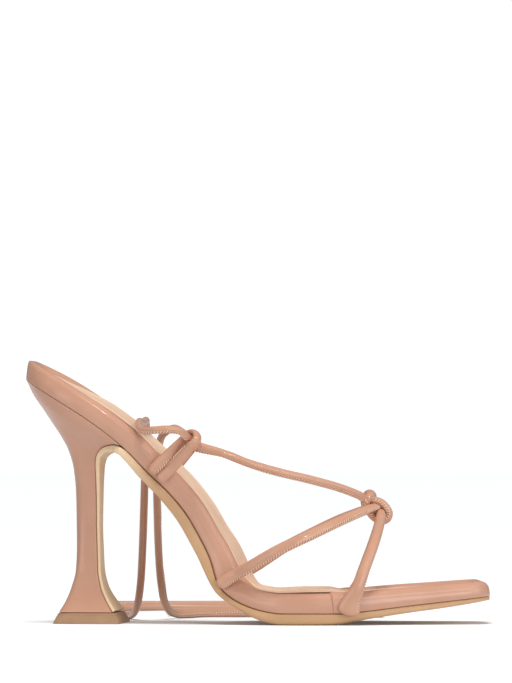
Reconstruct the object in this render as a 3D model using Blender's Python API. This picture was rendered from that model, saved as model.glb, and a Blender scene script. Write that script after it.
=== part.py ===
"""Square toe heeled sandal with rolled straps and two long ankle ties, right foot.

Sizes are in millimetres in the shoe's own straight frame: x runs from the back of the heel to the toe,
v runs across the foot (minus is the outer, lateral side) and z is the height over the floor.
placed() bends that frame along the curve of a right foot and moves it to the part's origin.
"""

import math

import bmesh
import bpy
import numpy as np
from mathutils import Vector

MM = 0.001
GAP = 0.3                   # between pieces that lie on each other
BOW = 6.5                   # how far the middle of the sole swings to the outer side
LENGTH = 210.0
ORIGIN = (104.95, -5.85)    # middle of the shoe's box, without its ties

# The last: the feather line where the wrapped footbed meets the sole, a row for each station
LAST_COLUMNS = ("x", "z", "lean", "rim", "lateral", "medial", "sole", "twist")
LAST = (
    (-2.2, 112.6, 6, 9.4, 24.4, 24.8, 3.0, 0),
    (17.0, 101.4, 30, 9.1, 25.0, 25.5, 3.0, 0),
    (35.0, 89.3, 36, 9.0, 25.0, 25.3, 3.0, 0),
    (45.0, 81.0, 40, 9.1, 24.0, 24.2, 3.4, 0),
    (56.2, 70.3, 45, 9.2, 22.4, 22.2, 4.0, 2.0),
    (66.6, 60.2, 48, 9.1, 21.6, 21.2, 4.5, 2.8),
    (73.9, 51.4, 56, 9.0, 21.8, 21.2, 4.7, 3.2),
    (79.1, 42.0, 63, 9.3, 22.8, 22.0, 4.7, 3.5),
    (84.0, 31.0, 66, 9.9, 24.4, 23.6, 4.5, 3.6),
    (87.8, 18.5, 55, 9.9, 27.2, 26.4, 3.5, 2.6),
    (95.4, 10.6, 30, 9.1, 30.8, 29.8, 2.9, 1.0),
    (104.0, 7.4, 14, 8.8, 34.0, 33.0, 4.0, 0),
    (115.0, 5.4, 0, 9.0, 36.4, 35.6, 5.1, 0),
    (128.0, 5.4, 0, 9.1, 37.2, 36.4, 5.1, 0),
    (141.0, 5.4, 0, 9.2, 36.8, 36.0, 5.1, 0),
    (152.0, 6.4, -4, 9.1, 35.2, 34.6, 4.0, 0),
    (170.0, 8.6, -6, 8.5, 31.8, 31.6, 3.0, 0),
    (188.0, 10.6, -6, 7.8, 28.2, 28.4, 2.6, 0),
    (209.4, 12.9, -5, 7.2, 24.6, 25.0, 1.5, 0),
)
HEEL_ROUND, HEEL_POWER = 27.0, 2.1      # the back of the seat is a rounded end
TOE_CORNER = 10.0                       # plan radius of the square toe's corners
TOE_EDGE, SEAT_EDGE = 4.5, 2.5          # rounding of the top edge at the two ends
RIM_EDGE, RIM_BULGE = 3.2, 0.35         # rounding and swell of the wrapped edge
DISH = 1.2
SOCK_INSET, SOCK_THICK, SOCK_GAP = 4.2, 1.0, 0.5
SOLE_INSET = 0.5
FLAP_THICK = 1.0                        # the sole goes on down the heel's breast
BREAST_X = 46.0                         # where the sole leaves the footbed

# The heel, seat to lift: its back and its breast in side view, a row for each section
HEEL_COLUMNS = ("back_x", "back_z", "breast_x", "breast_z", "half", "power", "seat")
HEEL = (
    (-2.4, 112.3, 44.0, 81.3, 24.6, 2.1, 1.0),
    (1.2, 105.1, 40.6, 82.1, 22.6, 2.1, 0.6),
    (5.7, 98.7, 36.8, 81.6, 19.0, 2.2, 0.25),
    (9.9, 92.5, 33.4, 79.6, 15.6, 2.3, 0),
    (13.8, 86.6, 31.4, 76.4, 12.6, 2.5, 0),
    (17.3, 80.2, 30.8, 72.0, 10.2, 2.7, 0),
    (19.9, 71.0, 30.8, 66.0, 8.2, 3.0, 0),
    (21.0, 60.0, 30.9, 57.5, 7.0, 3.3, 0),
    (21.3, 46.0, 30.9, 46.0, 6.5, 3.6, 0),
    (21.5, 34.0, 31.3, 34.0, 6.8, 4.2, 0),
    (21.2, 24.5, 31.7, 24.5, 8.0, 5.0, 0),
    (19.4, 16.5, 33.3, 16.5, 10.2, 6.0, 0),
    (17.2, 10.3, 36.3, 10.3, 14.0, 7.0, 0),
    (14.6, 5.3, 39.6, 5.3, 18.0, 8.0, 0),
)
HEEL_SHAPE = (0, 0.03, 0.09, 0.18, 0.32, 0.5, 0.7, 0.87, 1.0)   # back to breast, where the sides are cut
BACK_SHARE = 0.6                                                # how much of the depth the back's curve takes

# The lift under the heel, a row for its top and its foot
LIFT_COLUMNS = ("back", "front", "half", "z")
LIFT = (
    (14.3, 41.0, 18.4, 5.0),
    (11.8, 43.6, 21.4, 0.0),
)
LIFT_POWER = 8.0

# Vamp straps, sole to crown in side view: wrap is the share of the foot's half width there
STRAP_COLUMNS = ("x", "z", "wrap", "wide", "thick")
REAR_STRAP = (
    (86.6, 17.2, 1.0, 5.8, 3.4),
    (89.4, 19.6, 1.0, 5.8, 3.6),
    (94.8, 22.7, 1.0, 5.6, 4.0),
    (101.1, 26.2, 1.0, 5.6, 4.2),
    (114.8, 34.5, 0.97, 5.6, 4.2),
    (128.5, 41.3, 0.86, 5.6, 4.2),
    (142.3, 47.7, 0.62, 5.4, 4.2),
    (154.1, 52.3, 0.26, 4.8, 3.8),
    (159.4, 53.9, 0, 3.8, 3.2),
)
FRONT_STRAP = (
    (144.3, 5.8, 1.0, 9.2, 2.6),
    (145.3, 9.2, 1.0, 8.4, 3.0),
    (146.7, 12.8, 1.0, 7.0, 3.4),
    (148.7, 17.6, 1.0, 5.6, 4.0),
    (151.4, 25.3, 0.97, 5.2, 4.0),
    (155.1, 34.5, 0.86, 5.0, 4.0),
    (158.7, 43.6, 0.56, 4.8, 4.0),
    (161.2, 49.7, 0.22, 4.4, 3.6),
    (161.4, 51.8, 0, 3.8, 3.2),
)

STRAP_GAP = 0.55                        # from the footbed's edge, which turns under the strap
REAR_MEDIAL, FRONT_MEDIAL = 3.0, 4.6    # how much nearer to the toe the inner side's feet stand

# The lace: hitched over both straps at the crown, a bar down each side to its loop
LACE = 3.6                              # diameter
HITCH = (160.4, 52.7)                   # middle of the hitch in side view
HITCH_ALONG = (0.66, -0.75)             # from the rear strap to the front one
HITCH_LONG, HITCH_SHORT = 6.7, 4.5      # half axes of the cord's run round the straps
HITCH_APART = 1.6                      # the two turns, each side of the middle
BIGHT = 2.3                             # radius of the bight that lies over the turns
BAR_COLUMNS = ("x", "v", "z")
BAR = (
    (156.0, 2.4, 57.6),
    (151.4, 5.5, 59.6),
    (142.3, 10.5, 62.8),
    (128.5, 16.5, 66.3),
    (114.8, 20.5, 69.7),
    (101.1, 23.5, 73.8),
    (89.0, 24.2, 78.6),
)
LATERAL_EYE = (75.6, -27.0, 84.4)       # where the lace goes through its loop
MEDIAL_EYE = (71.8, 26.4, 83.3)
EYE_AXIS = (-0.51, 0.70, 0.50)          # its way through: back, out and up

# The side loops: a narrow strap folded over the lace, both ends lasted under the footbed
LATERAL_BASE = (59.4, 67.4)             # where it crosses the feather line
MEDIAL_BASE = (58.0, 68.8)
LOOP_UP = (0.70, 0.714)
LOOP_WIDE, LOOP_THICK = 5.0, 3.0
LOOP_FOLD = LACE / 2 + GAP + LOOP_THICK / 2
LOOP_GAP = 0.6                          # from the footbed's edge, which narrows along the loop's width

# The ties, from the eye to their tips, lying uncoiled on the floor behind the shoe. They are long,
# so their rows are in the part's own frame, y counted outward from the middle
TIE_LENGTH = 727.0
TIE_STEP = 10.0
LATERAL_TIE = (
    (-40.9, 35.5, 89.2),
    (-46.9, 34.8, 88.8),
    (-51.8, 29.9, 88.7),
    (-54.2, 22.8, 90.6),
    (-54.3, 12.6, 92.7),
    (-53.6, -1.4, 92.1),
    (-52.8, -14.0, 93.0),
    (-52.7, -22.2, 93.1),
    (-52.9, -29.4, 89.6),
    (-53.2, -32.8, 82.2),
    (-53.7, -33.8, 66.0),
    (-54.6, -34.8, 38.0),
    (-55.8, -37.4, 17.5),
    (-57.8, -45.4, 6.4),
    (-61.0, -58.0, 2.1),
    (-68.0, -76.0, 2.1),
    (-78.0, -100.0, 2.1),
    (-83.0, -128.0, 2.1),
    (-82.0, -152.0, 2.1),
    (-74.0, -174.0, 2.1),
    (-56.0, -187.0, 2.1),
    (-24.0, -191.5, 2.1),
    (14.0, -190.5, 2.1),
    (44.0, -189.5, 2.1),
    (52.2, -192.9, 2.1),
    (55.6, -201.1, 2.1),
    (52.2, -209.3, 2.1),
    (44.0, -212.7, 2.1),
    (10.0, -213.5, 2.1),
    (-34.0, -211.0, 2.1),
    (-73.0, -212.6, 2.1),
    (-81.0, -216.0, 2.1),
    (-84.4, -224.3, 2.1),
    (-81.0, -232.6, 2.1),
    (-73.0, -236.0, 2.1),
    (-30.0, -236.8, 2.1),
    (8.0, -234.0, 2.1),
    (50.0, -233.0, 2.1),
)
MEDIAL_TIE = (
    (-40.2, 38.0, 89.8),
    (-46.0, 44.2, 86.2),
    (-48.2, 46.9, 75.0),
    (-48.3, 48.4, 46.0),
    (-46.8, 51.6, 18.0),
    (-44.6, 59.6, 6.2),
    (-40.0, 71.0, 2.1),
    (-27.0, 79.0, 2.1),
    (-4.0, 81.5, 2.1),
    (47.0, 80.0, 2.1),
    (53.8, 82.8, 2.1),
    (56.6, 89.6, 2.1),
    (53.8, 96.4, 2.1),
    (47.0, 99.2, 2.1),
    (-35.0, 99.2, 2.1),
    (-41.8, 102.0, 2.1),
    (-44.6, 108.8, 2.1),
    (-41.8, 115.6, 2.1),
    (-35.0, 118.4, 2.1),
    (47.0, 118.4, 2.1),
    (53.8, 121.2, 2.1),
    (56.6, 128.0, 2.1),
    (53.8, 134.8, 2.1),
    (47.0, 137.6, 2.1),
    (-35.0, 137.6, 2.1),
    (-41.8, 140.4, 2.1),
    (-44.6, 147.2, 2.1),
    (-41.8, 154.0, 2.1),
    (-35.0, 156.8, 2.1),
    (47.0, 156.8, 2.1),
    (53.8, 159.6, 2.1),
    (56.6, 166.4, 2.1),
    (53.8, 173.2, 2.1),
    (47.0, 176.0, 2.1),
    (6.0, 177.0, 2.1),
    (-14.0, 175.5, 2.1),
)
TIP_LENGTH, TIP_WIDE = 12.5, 5.2

# Colours and roughness of the materials
NUDE = (0.62, 0.34, 0.24, 0.25)
TAN = (0.66, 0.42, 0.22, 0.5)
LIFT_TAN = (0.46, 0.28, 0.16, 0.6)
CREAM = (0.78, 0.56, 0.39, 0.55)
GOLD = (0.75, 0.55, 0.28, 0.3)


def columns(names, rows):
    """A table as one array for each of its named columns."""
    return dict(zip(names, np.array(rows, float).T))


def smooth(knots, values, at):
    """Monotone cubic through a table's rows: it bends between them and never overshoots a level stretch."""
    step = np.diff(knots)
    slope = np.diff(values) / step
    tangent = np.concatenate([slope[:1], np.zeros(len(slope) - 1), slope[-1:]])
    for i in range(1, len(slope)):
        if slope[i - 1] * slope[i] > 0:
            near, far = 2 * step[i] + step[i - 1], step[i] + 2 * step[i - 1]
            tangent[i] = (near + far) / (near / slope[i - 1] + far / slope[i])
    at = np.clip(at, knots[0], knots[-1])
    i = np.clip(np.searchsorted(knots, at, side="right") - 1, 0, len(step) - 1)
    t = (at - knots[i]) / step[i]
    rise = values[i] + t * t * (3 - 2 * t) * (values[i + 1] - values[i])
    return rise + step[i] * t * (1 - t) * ((1 - t) * tangent[i] - t * tangent[i + 1])


def lengths(points):
    """Distance along a run of points to each of them."""
    points = np.asarray(points, float)
    return np.concatenate([[0], np.cumsum(np.linalg.norm(np.diff(points, axis=0), axis=1))])


def curve_through(points, step):
    """A smooth curve through the points, as points at even steps along it."""
    points = np.asarray(points, float)
    ends = np.vstack([2 * points[0] - points[1], points, 2 * points[-1] - points[-2]])
    knots = np.concatenate([[0], np.cumsum(np.linalg.norm(np.diff(ends, axis=0), axis=1) ** 0.5)])
    fine = []
    for i in range(1, len(ends) - 2):
        k0, k1, k2, k3 = knots[i - 1:i + 3]
        p0, p1, p2, p3 = ends[i - 1:i + 3]
        for k in np.linspace(k1, k2, 24, endpoint=False):
            a1 = ((k1 - k) * p0 + (k - k0) * p1) / (k1 - k0)
            a2 = ((k2 - k) * p1 + (k - k1) * p2) / (k2 - k1)
            a3 = ((k3 - k) * p2 + (k - k2) * p3) / (k3 - k2)
            b1 = ((k2 - k) * a1 + (k - k0) * a2) / (k2 - k0)
            b2 = ((k3 - k) * a2 + (k - k1) * a3) / (k3 - k1)
            fine.append(((k2 - k) * b1 + (k - k1) * b2) / (k2 - k1))
    fine = np.array(fine + [points[-1]])
    run = lengths(fine)
    count = max(2, round(run[-1] / step) + 1)
    at = np.linspace(0, run[-1], count)
    return np.stack([np.interp(at, run, axis) for axis in fine.T], axis=1)


def unit(vector):
    vector = np.asarray(vector, float)
    return vector / np.linalg.norm(vector)


def placed(x, v, z):
    """A point of the straight frame in the part's own frame, in metres."""
    turn = math.atan(BOW * math.pi / LENGTH * math.cos(math.pi * x / LENGTH))
    along = x + v * math.sin(turn)
    across = v * math.cos(turn) - BOW * math.sin(math.pi * x / LENGTH)
    return Vector((along - ORIGIN[0], across - ORIGIN[1], z)) * MM


def own(x, y, z):
    """A point given in the part's own frame, in metres."""
    return Vector((x, y, z)) * MM


# The last's own functions, by the distance s along the feather line from the heel
ROWS = columns(LAST_COLUMNS, LAST)
ROW_S = lengths(np.stack([ROWS["x"], ROWS["z"]], axis=1))
TOE_S = ROW_S[-1]
FINE_S = np.linspace(0, TOE_S, 500)


def last(name, s):
    return smooth(ROW_S, ROWS[name], s)


def s_at(x):
    return np.interp(x, last("x", FINE_S), FINE_S)


def end_drop(distance, radius):
    """How much a rounded edge falls at this distance from its end."""
    inward = radius - np.clip(distance, 0, radius)
    return radius - np.sqrt(radius ** 2 - inward ** 2)


def outline(s, side, inset=0.0):
    """Half width of the footbed at a station, or of a piece set in from its edge."""
    from_heel = np.clip((s - inset) / (HEEL_ROUND - inset), 0, 1)
    back = (1 - (1 - from_heel) ** HEEL_POWER) ** (1 / HEEL_POWER)
    return (last(side, s) - inset) * back - end_drop(TOE_S - inset - s, TOE_CORNER)


def at_station(s, v, h):
    """A point h over the feather line, along the section's own lean."""
    lean = math.radians(last("lean", s))
    lift = h + v * math.tan(math.radians(last("twist", s)))
    return placed(last("x", s) + lift * math.sin(lean), v, last("z", s) + lift * math.cos(lean))


def stations(inset=0.0, middle=34):
    """Places along the last, close together where its ends turn."""
    heel = HEEL_ROUND - (HEEL_ROUND - inset) * np.cos(np.radians(np.linspace(11, 80, 7)))
    toe = TOE_S - inset - TOE_CORNER * (1 - np.cos(np.radians(np.linspace(80, 0, 6))))
    return np.concatenate([heel, np.linspace(HEEL_ROUND, TOE_S - inset - TOE_CORNER, middle), toe])


def bed_top(s, v):
    """Height of the footbed's dished top over the feather line."""
    rim = last("rim", s) - end_drop(TOE_S - s, TOE_EDGE) - end_drop(s, SEAT_EDGE)
    half = outline(s, "lateral" if v < 0 else "medial")
    return rim - DISH * max(0.0, 1 - (v / max(half - RIM_EDGE, 1.0)) ** 2)


def footbed_ring(s):
    """Section of the footbed: flat below, swollen sides, rounded top edges and a dished top."""
    sides = {}
    for side, sign in (("lateral", -1), ("medial", 1)):
        half = outline(s, side)
        top = last("rim", s) - end_drop(TOE_S - s, TOE_EDGE) - end_drop(s, SEAT_EDGE)
        edge = min(RIM_EDGE, half * 0.7, top * 0.6)
        bulge = min(RIM_BULGE, half * 0.1)
        run = [(half - 1.0, 0), (half, 0.7), (half + bulge, top * 0.4)]
        for angle in (0, 30, 60, 90):
            turn = math.radians(angle)
            run.append((half - edge + edge * math.cos(turn), top - edge + edge * math.sin(turn)))
        run.append((half * 0.45, bed_top(s, sign * half * 0.45)))
        sides[side] = [(sign * v, h) for v, h in run]
    ring = sides["lateral"] + [(0, bed_top(s, 0))] + sides["medial"][::-1] + [(0, 0)]
    return [at_station(s, v, h) for v, h in ring]


def sock_ring(s):
    """Section of the sock lining on the footbed's dished top."""
    low, high = [], []
    for share in (-1, -0.5, 0, 0.5, 1):
        v = share * outline(s, "lateral" if share < 0 else "medial", SOCK_INSET)
        low.append(at_station(s, v, bed_top(s, v) + SOCK_GAP))
        high.append(at_station(s, v, bed_top(s, v) + SOCK_GAP + SOCK_THICK))
    return low + high[::-1]


# The heel's own functions, by the distance down its middle
HEEL_ROWS = columns(HEEL_COLUMNS, HEEL)
HEEL_RUN = lengths(np.stack([
    HEEL_ROWS["back_x"] + HEEL_ROWS["breast_x"],
    HEEL_ROWS["back_z"] + HEEL_ROWS["breast_z"],
], axis=1) / 2)


def heel_at(name, run):
    return smooth(HEEL_RUN, HEEL_ROWS[name], run)


def round_back(share, power, depth=BACK_SHARE):
    """Half width of a section that is round behind and straight to the breast."""
    return (1 - (1 - min(share / depth, 1)) ** power) ** (1 / power)


def heel_ring(run):
    """Section of the heel: the seat's own outline at the top, a flared block at the foot."""
    row = {name: float(heel_at(name, run)) for name in HEEL_COLUMNS}
    side = []
    for share in HEEL_SHAPE:
        x = row["back_x"] + share * (row["breast_x"] - row["back_x"])
        z = row["back_z"] + share * (row["breast_z"] - row["back_z"])
        top_x = HEEL[0][0] + share * (HEEL[0][2] - HEEL[0][0])
        chord = HEEL[0][1] + share * (HEEL[0][3] - HEEL[0][1])
        s = s_at(top_x)
        crown = last("z", s) - GAP / math.cos(math.radians(last("lean", s))) - chord
        seat = min(outline(s, "lateral"), outline(s, "medial")) - 0.4 if share > 0 else 0.0
        half = row["seat"] * seat + (1 - row["seat"]) * row["half"] * round_back(share, row["power"])
        side.append((x, half, z + row["seat"] * crown))
    ring = [placed(x, -half, z) for x, half, z in side]
    ring.append(placed(side[-1][0], 0, side[-1][2]))
    return ring + [placed(x, half, z) for x, half, z in side[:0:-1]]


def lift_ring(row):
    side = []
    for share in HEEL_SHAPE:
        x = row["back"] + share * (row["front"] - row["back"])
        side.append((x, row["half"] * round_back(share, LIFT_POWER, 1.0), row["z"]))
    ring = [placed(x, -half, z) for x, half, z in side]
    return ring + [placed(x, half, z) for x, half, z in side[:0:-1]]


def sole_rings():
    """Sections of the sole: under the footbed from the toe to the waist, then down the heel's breast."""
    path = []
    for s in np.unique(np.minimum(stations(), TOE_S - SOLE_INSET))[::-1]:
        if last("x", s) > BREAST_X:
            path.append((
                last("x", s), last("z", s), math.radians(last("lean", s)), last("sole", s),
                outline(s, "lateral", SOLE_INSET), outline(s, "medial", SOLE_INSET), last("twist", s),
            ))
    runs = np.concatenate([np.linspace(HEEL_RUN[0], HEEL_RUN[4], 9), np.linspace(HEEL_RUN[4], HEEL_RUN[-1], 16)[1:]])
    breast = np.stack([heel_at("breast_x", runs), heel_at("breast_z", runs)], axis=1)
    for i, run in enumerate(runs):
        way = unit(breast[min(i + 1, len(runs) - 1)] - breast[max(i - 1, 0)])
        fade = i / (len(runs) - 1)
        thick = FLAP_THICK + (last("sole", s_at(BREAST_X)) - FLAP_THICK) * (1 - fade) ** 3
        half = heel_at("half", run) - SOLE_INSET * (1 - fade)
        twist = last("twist", s_at(BREAST_X)) * max(0.0, 1 - i / 3)
        path.append((breast[i][0], breast[i][1], math.atan2(way[1], -way[0]), thick, half, half, twist))
    rings = []
    for x, z, lean, thick, lateral, medial, twist in path:
        edge = min(1.0, thick * 0.45)
        section = [
            (-lateral, 0), (-lateral, -thick + edge), (-lateral + edge, -thick), (0, -thick),
            (medial - edge, -thick), (medial, -thick + edge), (medial, 0), (0, 0),
        ]
        ring = []
        for v, h in section:
            lift = h - GAP + v * math.tan(math.radians(twist))
            ring.append(placed(x + lift * math.sin(lean), v, z + lift * math.cos(lean)))
        rings.append(ring)
    return rings


def rim_reach(x, z, sign):
    """Half width of the footbed's swollen edge at its station nearest to a point in side view."""
    lean = np.radians(last("lean", FINE_S))
    middle = last("rim", FINE_S) / 2
    away = np.hypot(last("x", FINE_S) + middle * np.sin(lean) - x, last("z", FINE_S) + middle * np.cos(lean) - z)
    return float(outline(FINE_S[np.argmin(away)], "lateral" if sign < 0 else "medial")) + RIM_BULGE


def strap_rings(rows, medial):
    """Sections of a rolled strap from the lateral edge over the foot to the medial edge."""
    table = columns(STRAP_COLUMNS, rows)
    points, sizes = [], []
    for sign in (-1, 1):
        side = []
        for x, z, wrap, wide, thick in zip(*(table[key] for key in STRAP_COLUMNS)):
            x += medial * wrap if sign > 0 else 0
            reach = rim_reach(x, z, sign) + STRAP_GAP + thick / 2
            side.append(((x, sign * wrap * reach, z), (wide, thick, sign * wrap)))
        if sign > 0:
            side = side[-2::-1]
        points += [point for point, _ in side]
        sizes += [size for _, size in side]
    path = curve_through(points, 3.6)
    size_run, path_run = lengths(points), lengths(path)
    size_run *= path_run[-1] / size_run[-1]
    wide, thick, wrap = (np.interp(path_run, size_run, column) for column in np.array(sizes).T)
    outward = [(0, side, math.sqrt(max(0.0, 1 - side * side))) for side in wrap]
    return oval_rings(path, outward, wide, thick)


def oval_rings(path, outward, wide, thick, count=10):
    """Rings of an oval section along a path, its flat side to the outward direction."""
    rings = []
    for i, point in enumerate(path):
        way = unit(path[min(i + 1, len(path) - 1)] - path[max(i - 1, 0)])
        across = unit(np.cross(way, outward[i]))
        out = np.cross(across, way)
        ring = []
        for turn in np.linspace(0, 2 * math.pi, count, endpoint=False):
            offset = across * math.cos(turn) * wide[i] / 2 + out * math.sin(turn) * thick[i] / 2
            ring.append(placed(*(point + offset)))
        rings.append(ring)
    return rings


def loop_rings(sign):
    """Sections of a side loop: up the footbed's edge, round the lace and down again beside itself."""
    up = np.array([LOOP_UP[0], 0, LOOP_UP[1]])
    front = np.array([LOOP_UP[1], 0, -LOOP_UP[0]])
    eye, axis = eye_point(sign, 0), eye_axis(sign)
    top = unit(up - axis * np.dot(up, axis))
    fore = np.cross(axis, top) * sign
    x, z = LATERAL_BASE if sign < 0 else MEDIAL_BASE
    reach = rim_reach(x + 3, z + 3, sign) + LOOP_GAP + LOOP_THICK / 2
    base = np.array([x, sign * reach, z])
    side = np.array([0, sign, 0.0])
    apart = front * (LOOP_WIDE + GAP) / 2
    rise = np.linalg.norm(eye - base)
    strand = [base + up * share * rise for share in (0, 0.16, 0.34)]
    points = [point + apart for point in strand]
    outward = [side, side, side]
    for angle in range(-20, 201, 20):
        turn = math.radians(angle)
        radial = fore * math.cos(turn) + top * math.sin(turn)
        points.append(eye + radial * LOOP_FOLD)
        outward.append(radial)
    points += [point - apart for point in strand[::-1]]
    outward += [-side, -side, -side]
    path = curve_through(points, 2.2)
    share = lengths(path) / lengths(path)[-1]
    knots = lengths(points) / lengths(points)[-1]
    outward = np.stack([np.interp(share, knots, part) for part in np.array(outward).T], axis=1)
    return oval_rings(path, outward, np.full(len(path), LOOP_WIDE), np.full(len(path), LOOP_THICK))


def eye_axis(sign):
    return unit([EYE_AXIS[0], sign * EYE_AXIS[1], EYE_AXIS[2]])


def eye_point(sign, distance):
    """A point on the lace's way through a loop's eye."""
    return np.array(LATERAL_EYE if sign < 0 else MEDIAL_EYE) + eye_axis(sign) * distance


def bar_path(sign):
    """The lace from the hitch to just past its loop."""
    drop = 0 if sign < 0 else LATERAL_EYE[2] - MEDIAL_EYE[2]
    points = [(x, sign * v, z - drop * (BAR[0][0] - x) / (BAR[0][0] - LATERAL_EYE[0])) for x, v, z in BAR]
    points += [eye_point(sign, -4.4)]
    return np.vstack([curve_through(points, 6.0), eye_point(sign, 3.0)])


def hitch_path(v):
    """One turn of the lace round both straps."""
    along = np.array([HITCH_ALONG[0], 0, HITCH_ALONG[1]])
    across = np.array([-HITCH_ALONG[1], 0, HITCH_ALONG[0]])
    middle = np.array([HITCH[0], v, HITCH[1]])
    straight = HITCH_LONG - HITCH_SHORT
    path = []
    for angle in range(0, 360, 20):
        turn = math.radians(angle)
        shift = straight * (1 if math.cos(turn) > 0 else -1)
        path.append(middle + along * (shift + HITCH_SHORT * math.cos(turn)) + across * HITCH_SHORT * math.sin(turn))
    return path


def bight_path():
    """The bight of the hitch, over the turns on the side of the rear strap."""
    along = np.array([HITCH_ALONG[0], 0, HITCH_ALONG[1]])
    end = np.array([HITCH[0], 0, HITCH[1]]) - along * HITCH_LONG
    return [
        end + along * out + np.array([0, v, 0.0])
        for v, out in ((-3.0, -0.2), (-1.6, -1.3), (0, -1.7), (1.6, -1.3), (3.0, -0.2))
    ]


def tie_path(sign, rows):
    """A tie from its loop to where its tip begins, in the part's own frame: the tip lies on the floor in line with the cord's end."""
    points = [np.array(placed(*eye_point(sign, out))) / MM for out in (3.4, 8.0)]
    points += [(x, sign * y, z) for x, y, z in rows]
    path = curve_through(points, 1.0)
    run = lengths(path)
    if run[-1] < TIE_LENGTH:
        raise ValueError(f"the tie's route is {run[-1]:.0f} mm long, under {TIE_LENGTH:.0f} mm")
    keep = path[run <= TIE_LENGTH]
    rise = np.clip((lengths(keep) - TIE_LENGTH + 25) / 25, 0, 1)
    keep[:, 2] = np.maximum(keep[:, 2], LACE / 2)
    keep[:, 2] += rise * (TIP_WIDE / 2 - keep[:, 2])
    return np.vstack([points[0], curve_through(np.vstack([keep[5:-4:4], keep[-1]]), TIE_STEP)])


def material(name, red, green, blue, rough, metal=0.0):
    made = bpy.data.materials.new(name)
    made.use_nodes = True
    shader = made.node_tree.nodes["Principled BSDF"]
    shader.inputs["Base Color"].default_value = (red, green, blue, 1)
    shader.inputs["Roughness"].default_value = rough
    shader.inputs["Metallic"].default_value = metal
    return made


def add_object(name, data, looks, collection):
    made = bpy.data.objects.new(name, data)
    if looks:
        data.materials.append(looks)
    collection.objects.link(made)
    return made


def loft(name, rings, looks, collection, ruled=False):
    """A closed solid through rings of points, capped at each end. A ruled cap is strips from side to side."""
    solid = bmesh.new()
    loops = [[solid.verts.new(point) for point in ring] for ring in rings]
    for first, second in zip(loops, loops[1:]):
        for a in range(len(first)):
            b = (a + 1) % len(first)
            solid.faces.new((first[a], first[b], second[b], second[a]))
    count = len(rings[0])
    if ruled:
        for a in range(count // 2):
            corners = (a, a + 1, (count - a - 1) % count, (count - a) % count)
            solid.faces.new([loops[0][corner] for corner in dict.fromkeys(corners)])
    else:
        solid.faces.new(loops[0])
    solid.faces.new(loops[-1])
    bmesh.ops.recalc_face_normals(solid, faces=solid.faces)
    if solid.calc_volume(signed=True) < 0:
        bmesh.ops.reverse_faces(solid, faces=solid.faces)
    data = bpy.data.meshes.new(name)
    solid.to_mesh(data)
    solid.free()
    return add_object(name, data, looks, collection)


def cord(name, path, radius, looks, collection, closed=False, place=placed):
    """A round tube along a path, which is in the straight frame unless place says otherwise."""
    data = bpy.data.curves.new(name, "CURVE")
    data.dimensions = "3D"
    data.bevel_depth = radius * MM
    data.bevel_resolution = 2
    data.use_fill_caps = True
    spline = data.splines.new("POLY")
    spline.points.add(len(path) - 1)
    for point, at in zip(spline.points, path):
        point.co = (*place(*at), 1)
    spline.use_cyclic_u = closed
    return add_object(name, data, looks, collection)


def as_mesh(curve, collection):
    """A curve's tube as a mesh object, for a Boolean to join."""
    graph = bpy.context.evaluated_depsgraph_get()
    data = bpy.data.meshes.new_from_object(curve.evaluated_get(graph))
    solid = bmesh.new()
    solid.from_mesh(data)
    bmesh.ops.remove_doubles(solid, verts=solid.verts, dist=1e-6)
    bmesh.ops.recalc_face_normals(solid, faces=solid.faces)
    solid.to_mesh(data)
    solid.free()
    made = add_object(curve.name + "_solid", data, None, collection)
    bpy.data.objects.remove(curve)
    return made


def join(base, others):
    """Unites shapes that overlap into one body. The others stay hidden beside it."""
    for other in others:
        union = base.modifiers.new(other.name, "BOOLEAN")
        union.operation = "UNION"
        union.solver = "EXACT"
        union.object = other
        other.hide_render = True
        other.display_type = "WIRE"


for old in list(bpy.data.objects):
    bpy.data.objects.remove(old)

sandal = bpy.data.collections.new("heeled_sandal")
helpers = bpy.data.collections.new("joined_shapes")
for group in (sandal, helpers):
    bpy.context.scene.collection.children.link(group)

# Footbed, its sock lining and the sole
loft("footbed", [footbed_ring(s) for s in stations()], material("nude_wrap", *NUDE), sandal)
loft("insole_sock", [sock_ring(s) for s in stations(SOCK_INSET, 30)], material("cream_sock", *CREAM), sandal)
loft("outsole", sole_rings(), material("tan_sole", *TAN), sandal)

# Heel and lift
heel_runs = np.concatenate([np.linspace(0, HEEL_RUN[4], 9), np.linspace(HEEL_RUN[4], HEEL_RUN[-1], 18)[1:]])
loft("heel", [heel_ring(run) for run in heel_runs], material("nude_heel", *NUDE), sandal, ruled=True)
lift = columns(LIFT_COLUMNS, LIFT)
lift_rows = [{name: lift[name][i] for name in LIFT_COLUMNS} for i in range(len(LIFT))]
loft("heel_lift", [lift_ring(row) for row in lift_rows], material("lift_rubber", *LIFT_TAN), sandal)

# The two vamp straps, joined where they cross the top of the foot
vamp = loft("vamp_straps", strap_rings(REAR_STRAP, REAR_MEDIAL), material("nude_strap", *NUDE), sandal)
front = loft("front_strap", strap_rings(FRONT_STRAP, FRONT_MEDIAL), None, helpers)
join(vamp, [front])

# Lace: two turns and a bight round the straps, and a bar to each side loop
lace = cord("instep_lace", hitch_path(-HITCH_APART), LACE / 2, None, sandal, closed=True)
parts = [
    cord("far_turn", hitch_path(HITCH_APART), LACE / 2, None, helpers, closed=True),
    cord("bight", bight_path(), BIGHT, None, helpers),
    cord("lateral_bar", bar_path(-1), LACE / 2, None, helpers),
    cord("medial_bar", bar_path(1), LACE / 2, None, helpers),
]
lace = as_mesh(lace, sandal)
lace.name = "instep_lace"
lace.data.materials.append(material("nude_lace", *NUDE))
join(lace, [as_mesh(part, helpers) for part in parts])

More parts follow.
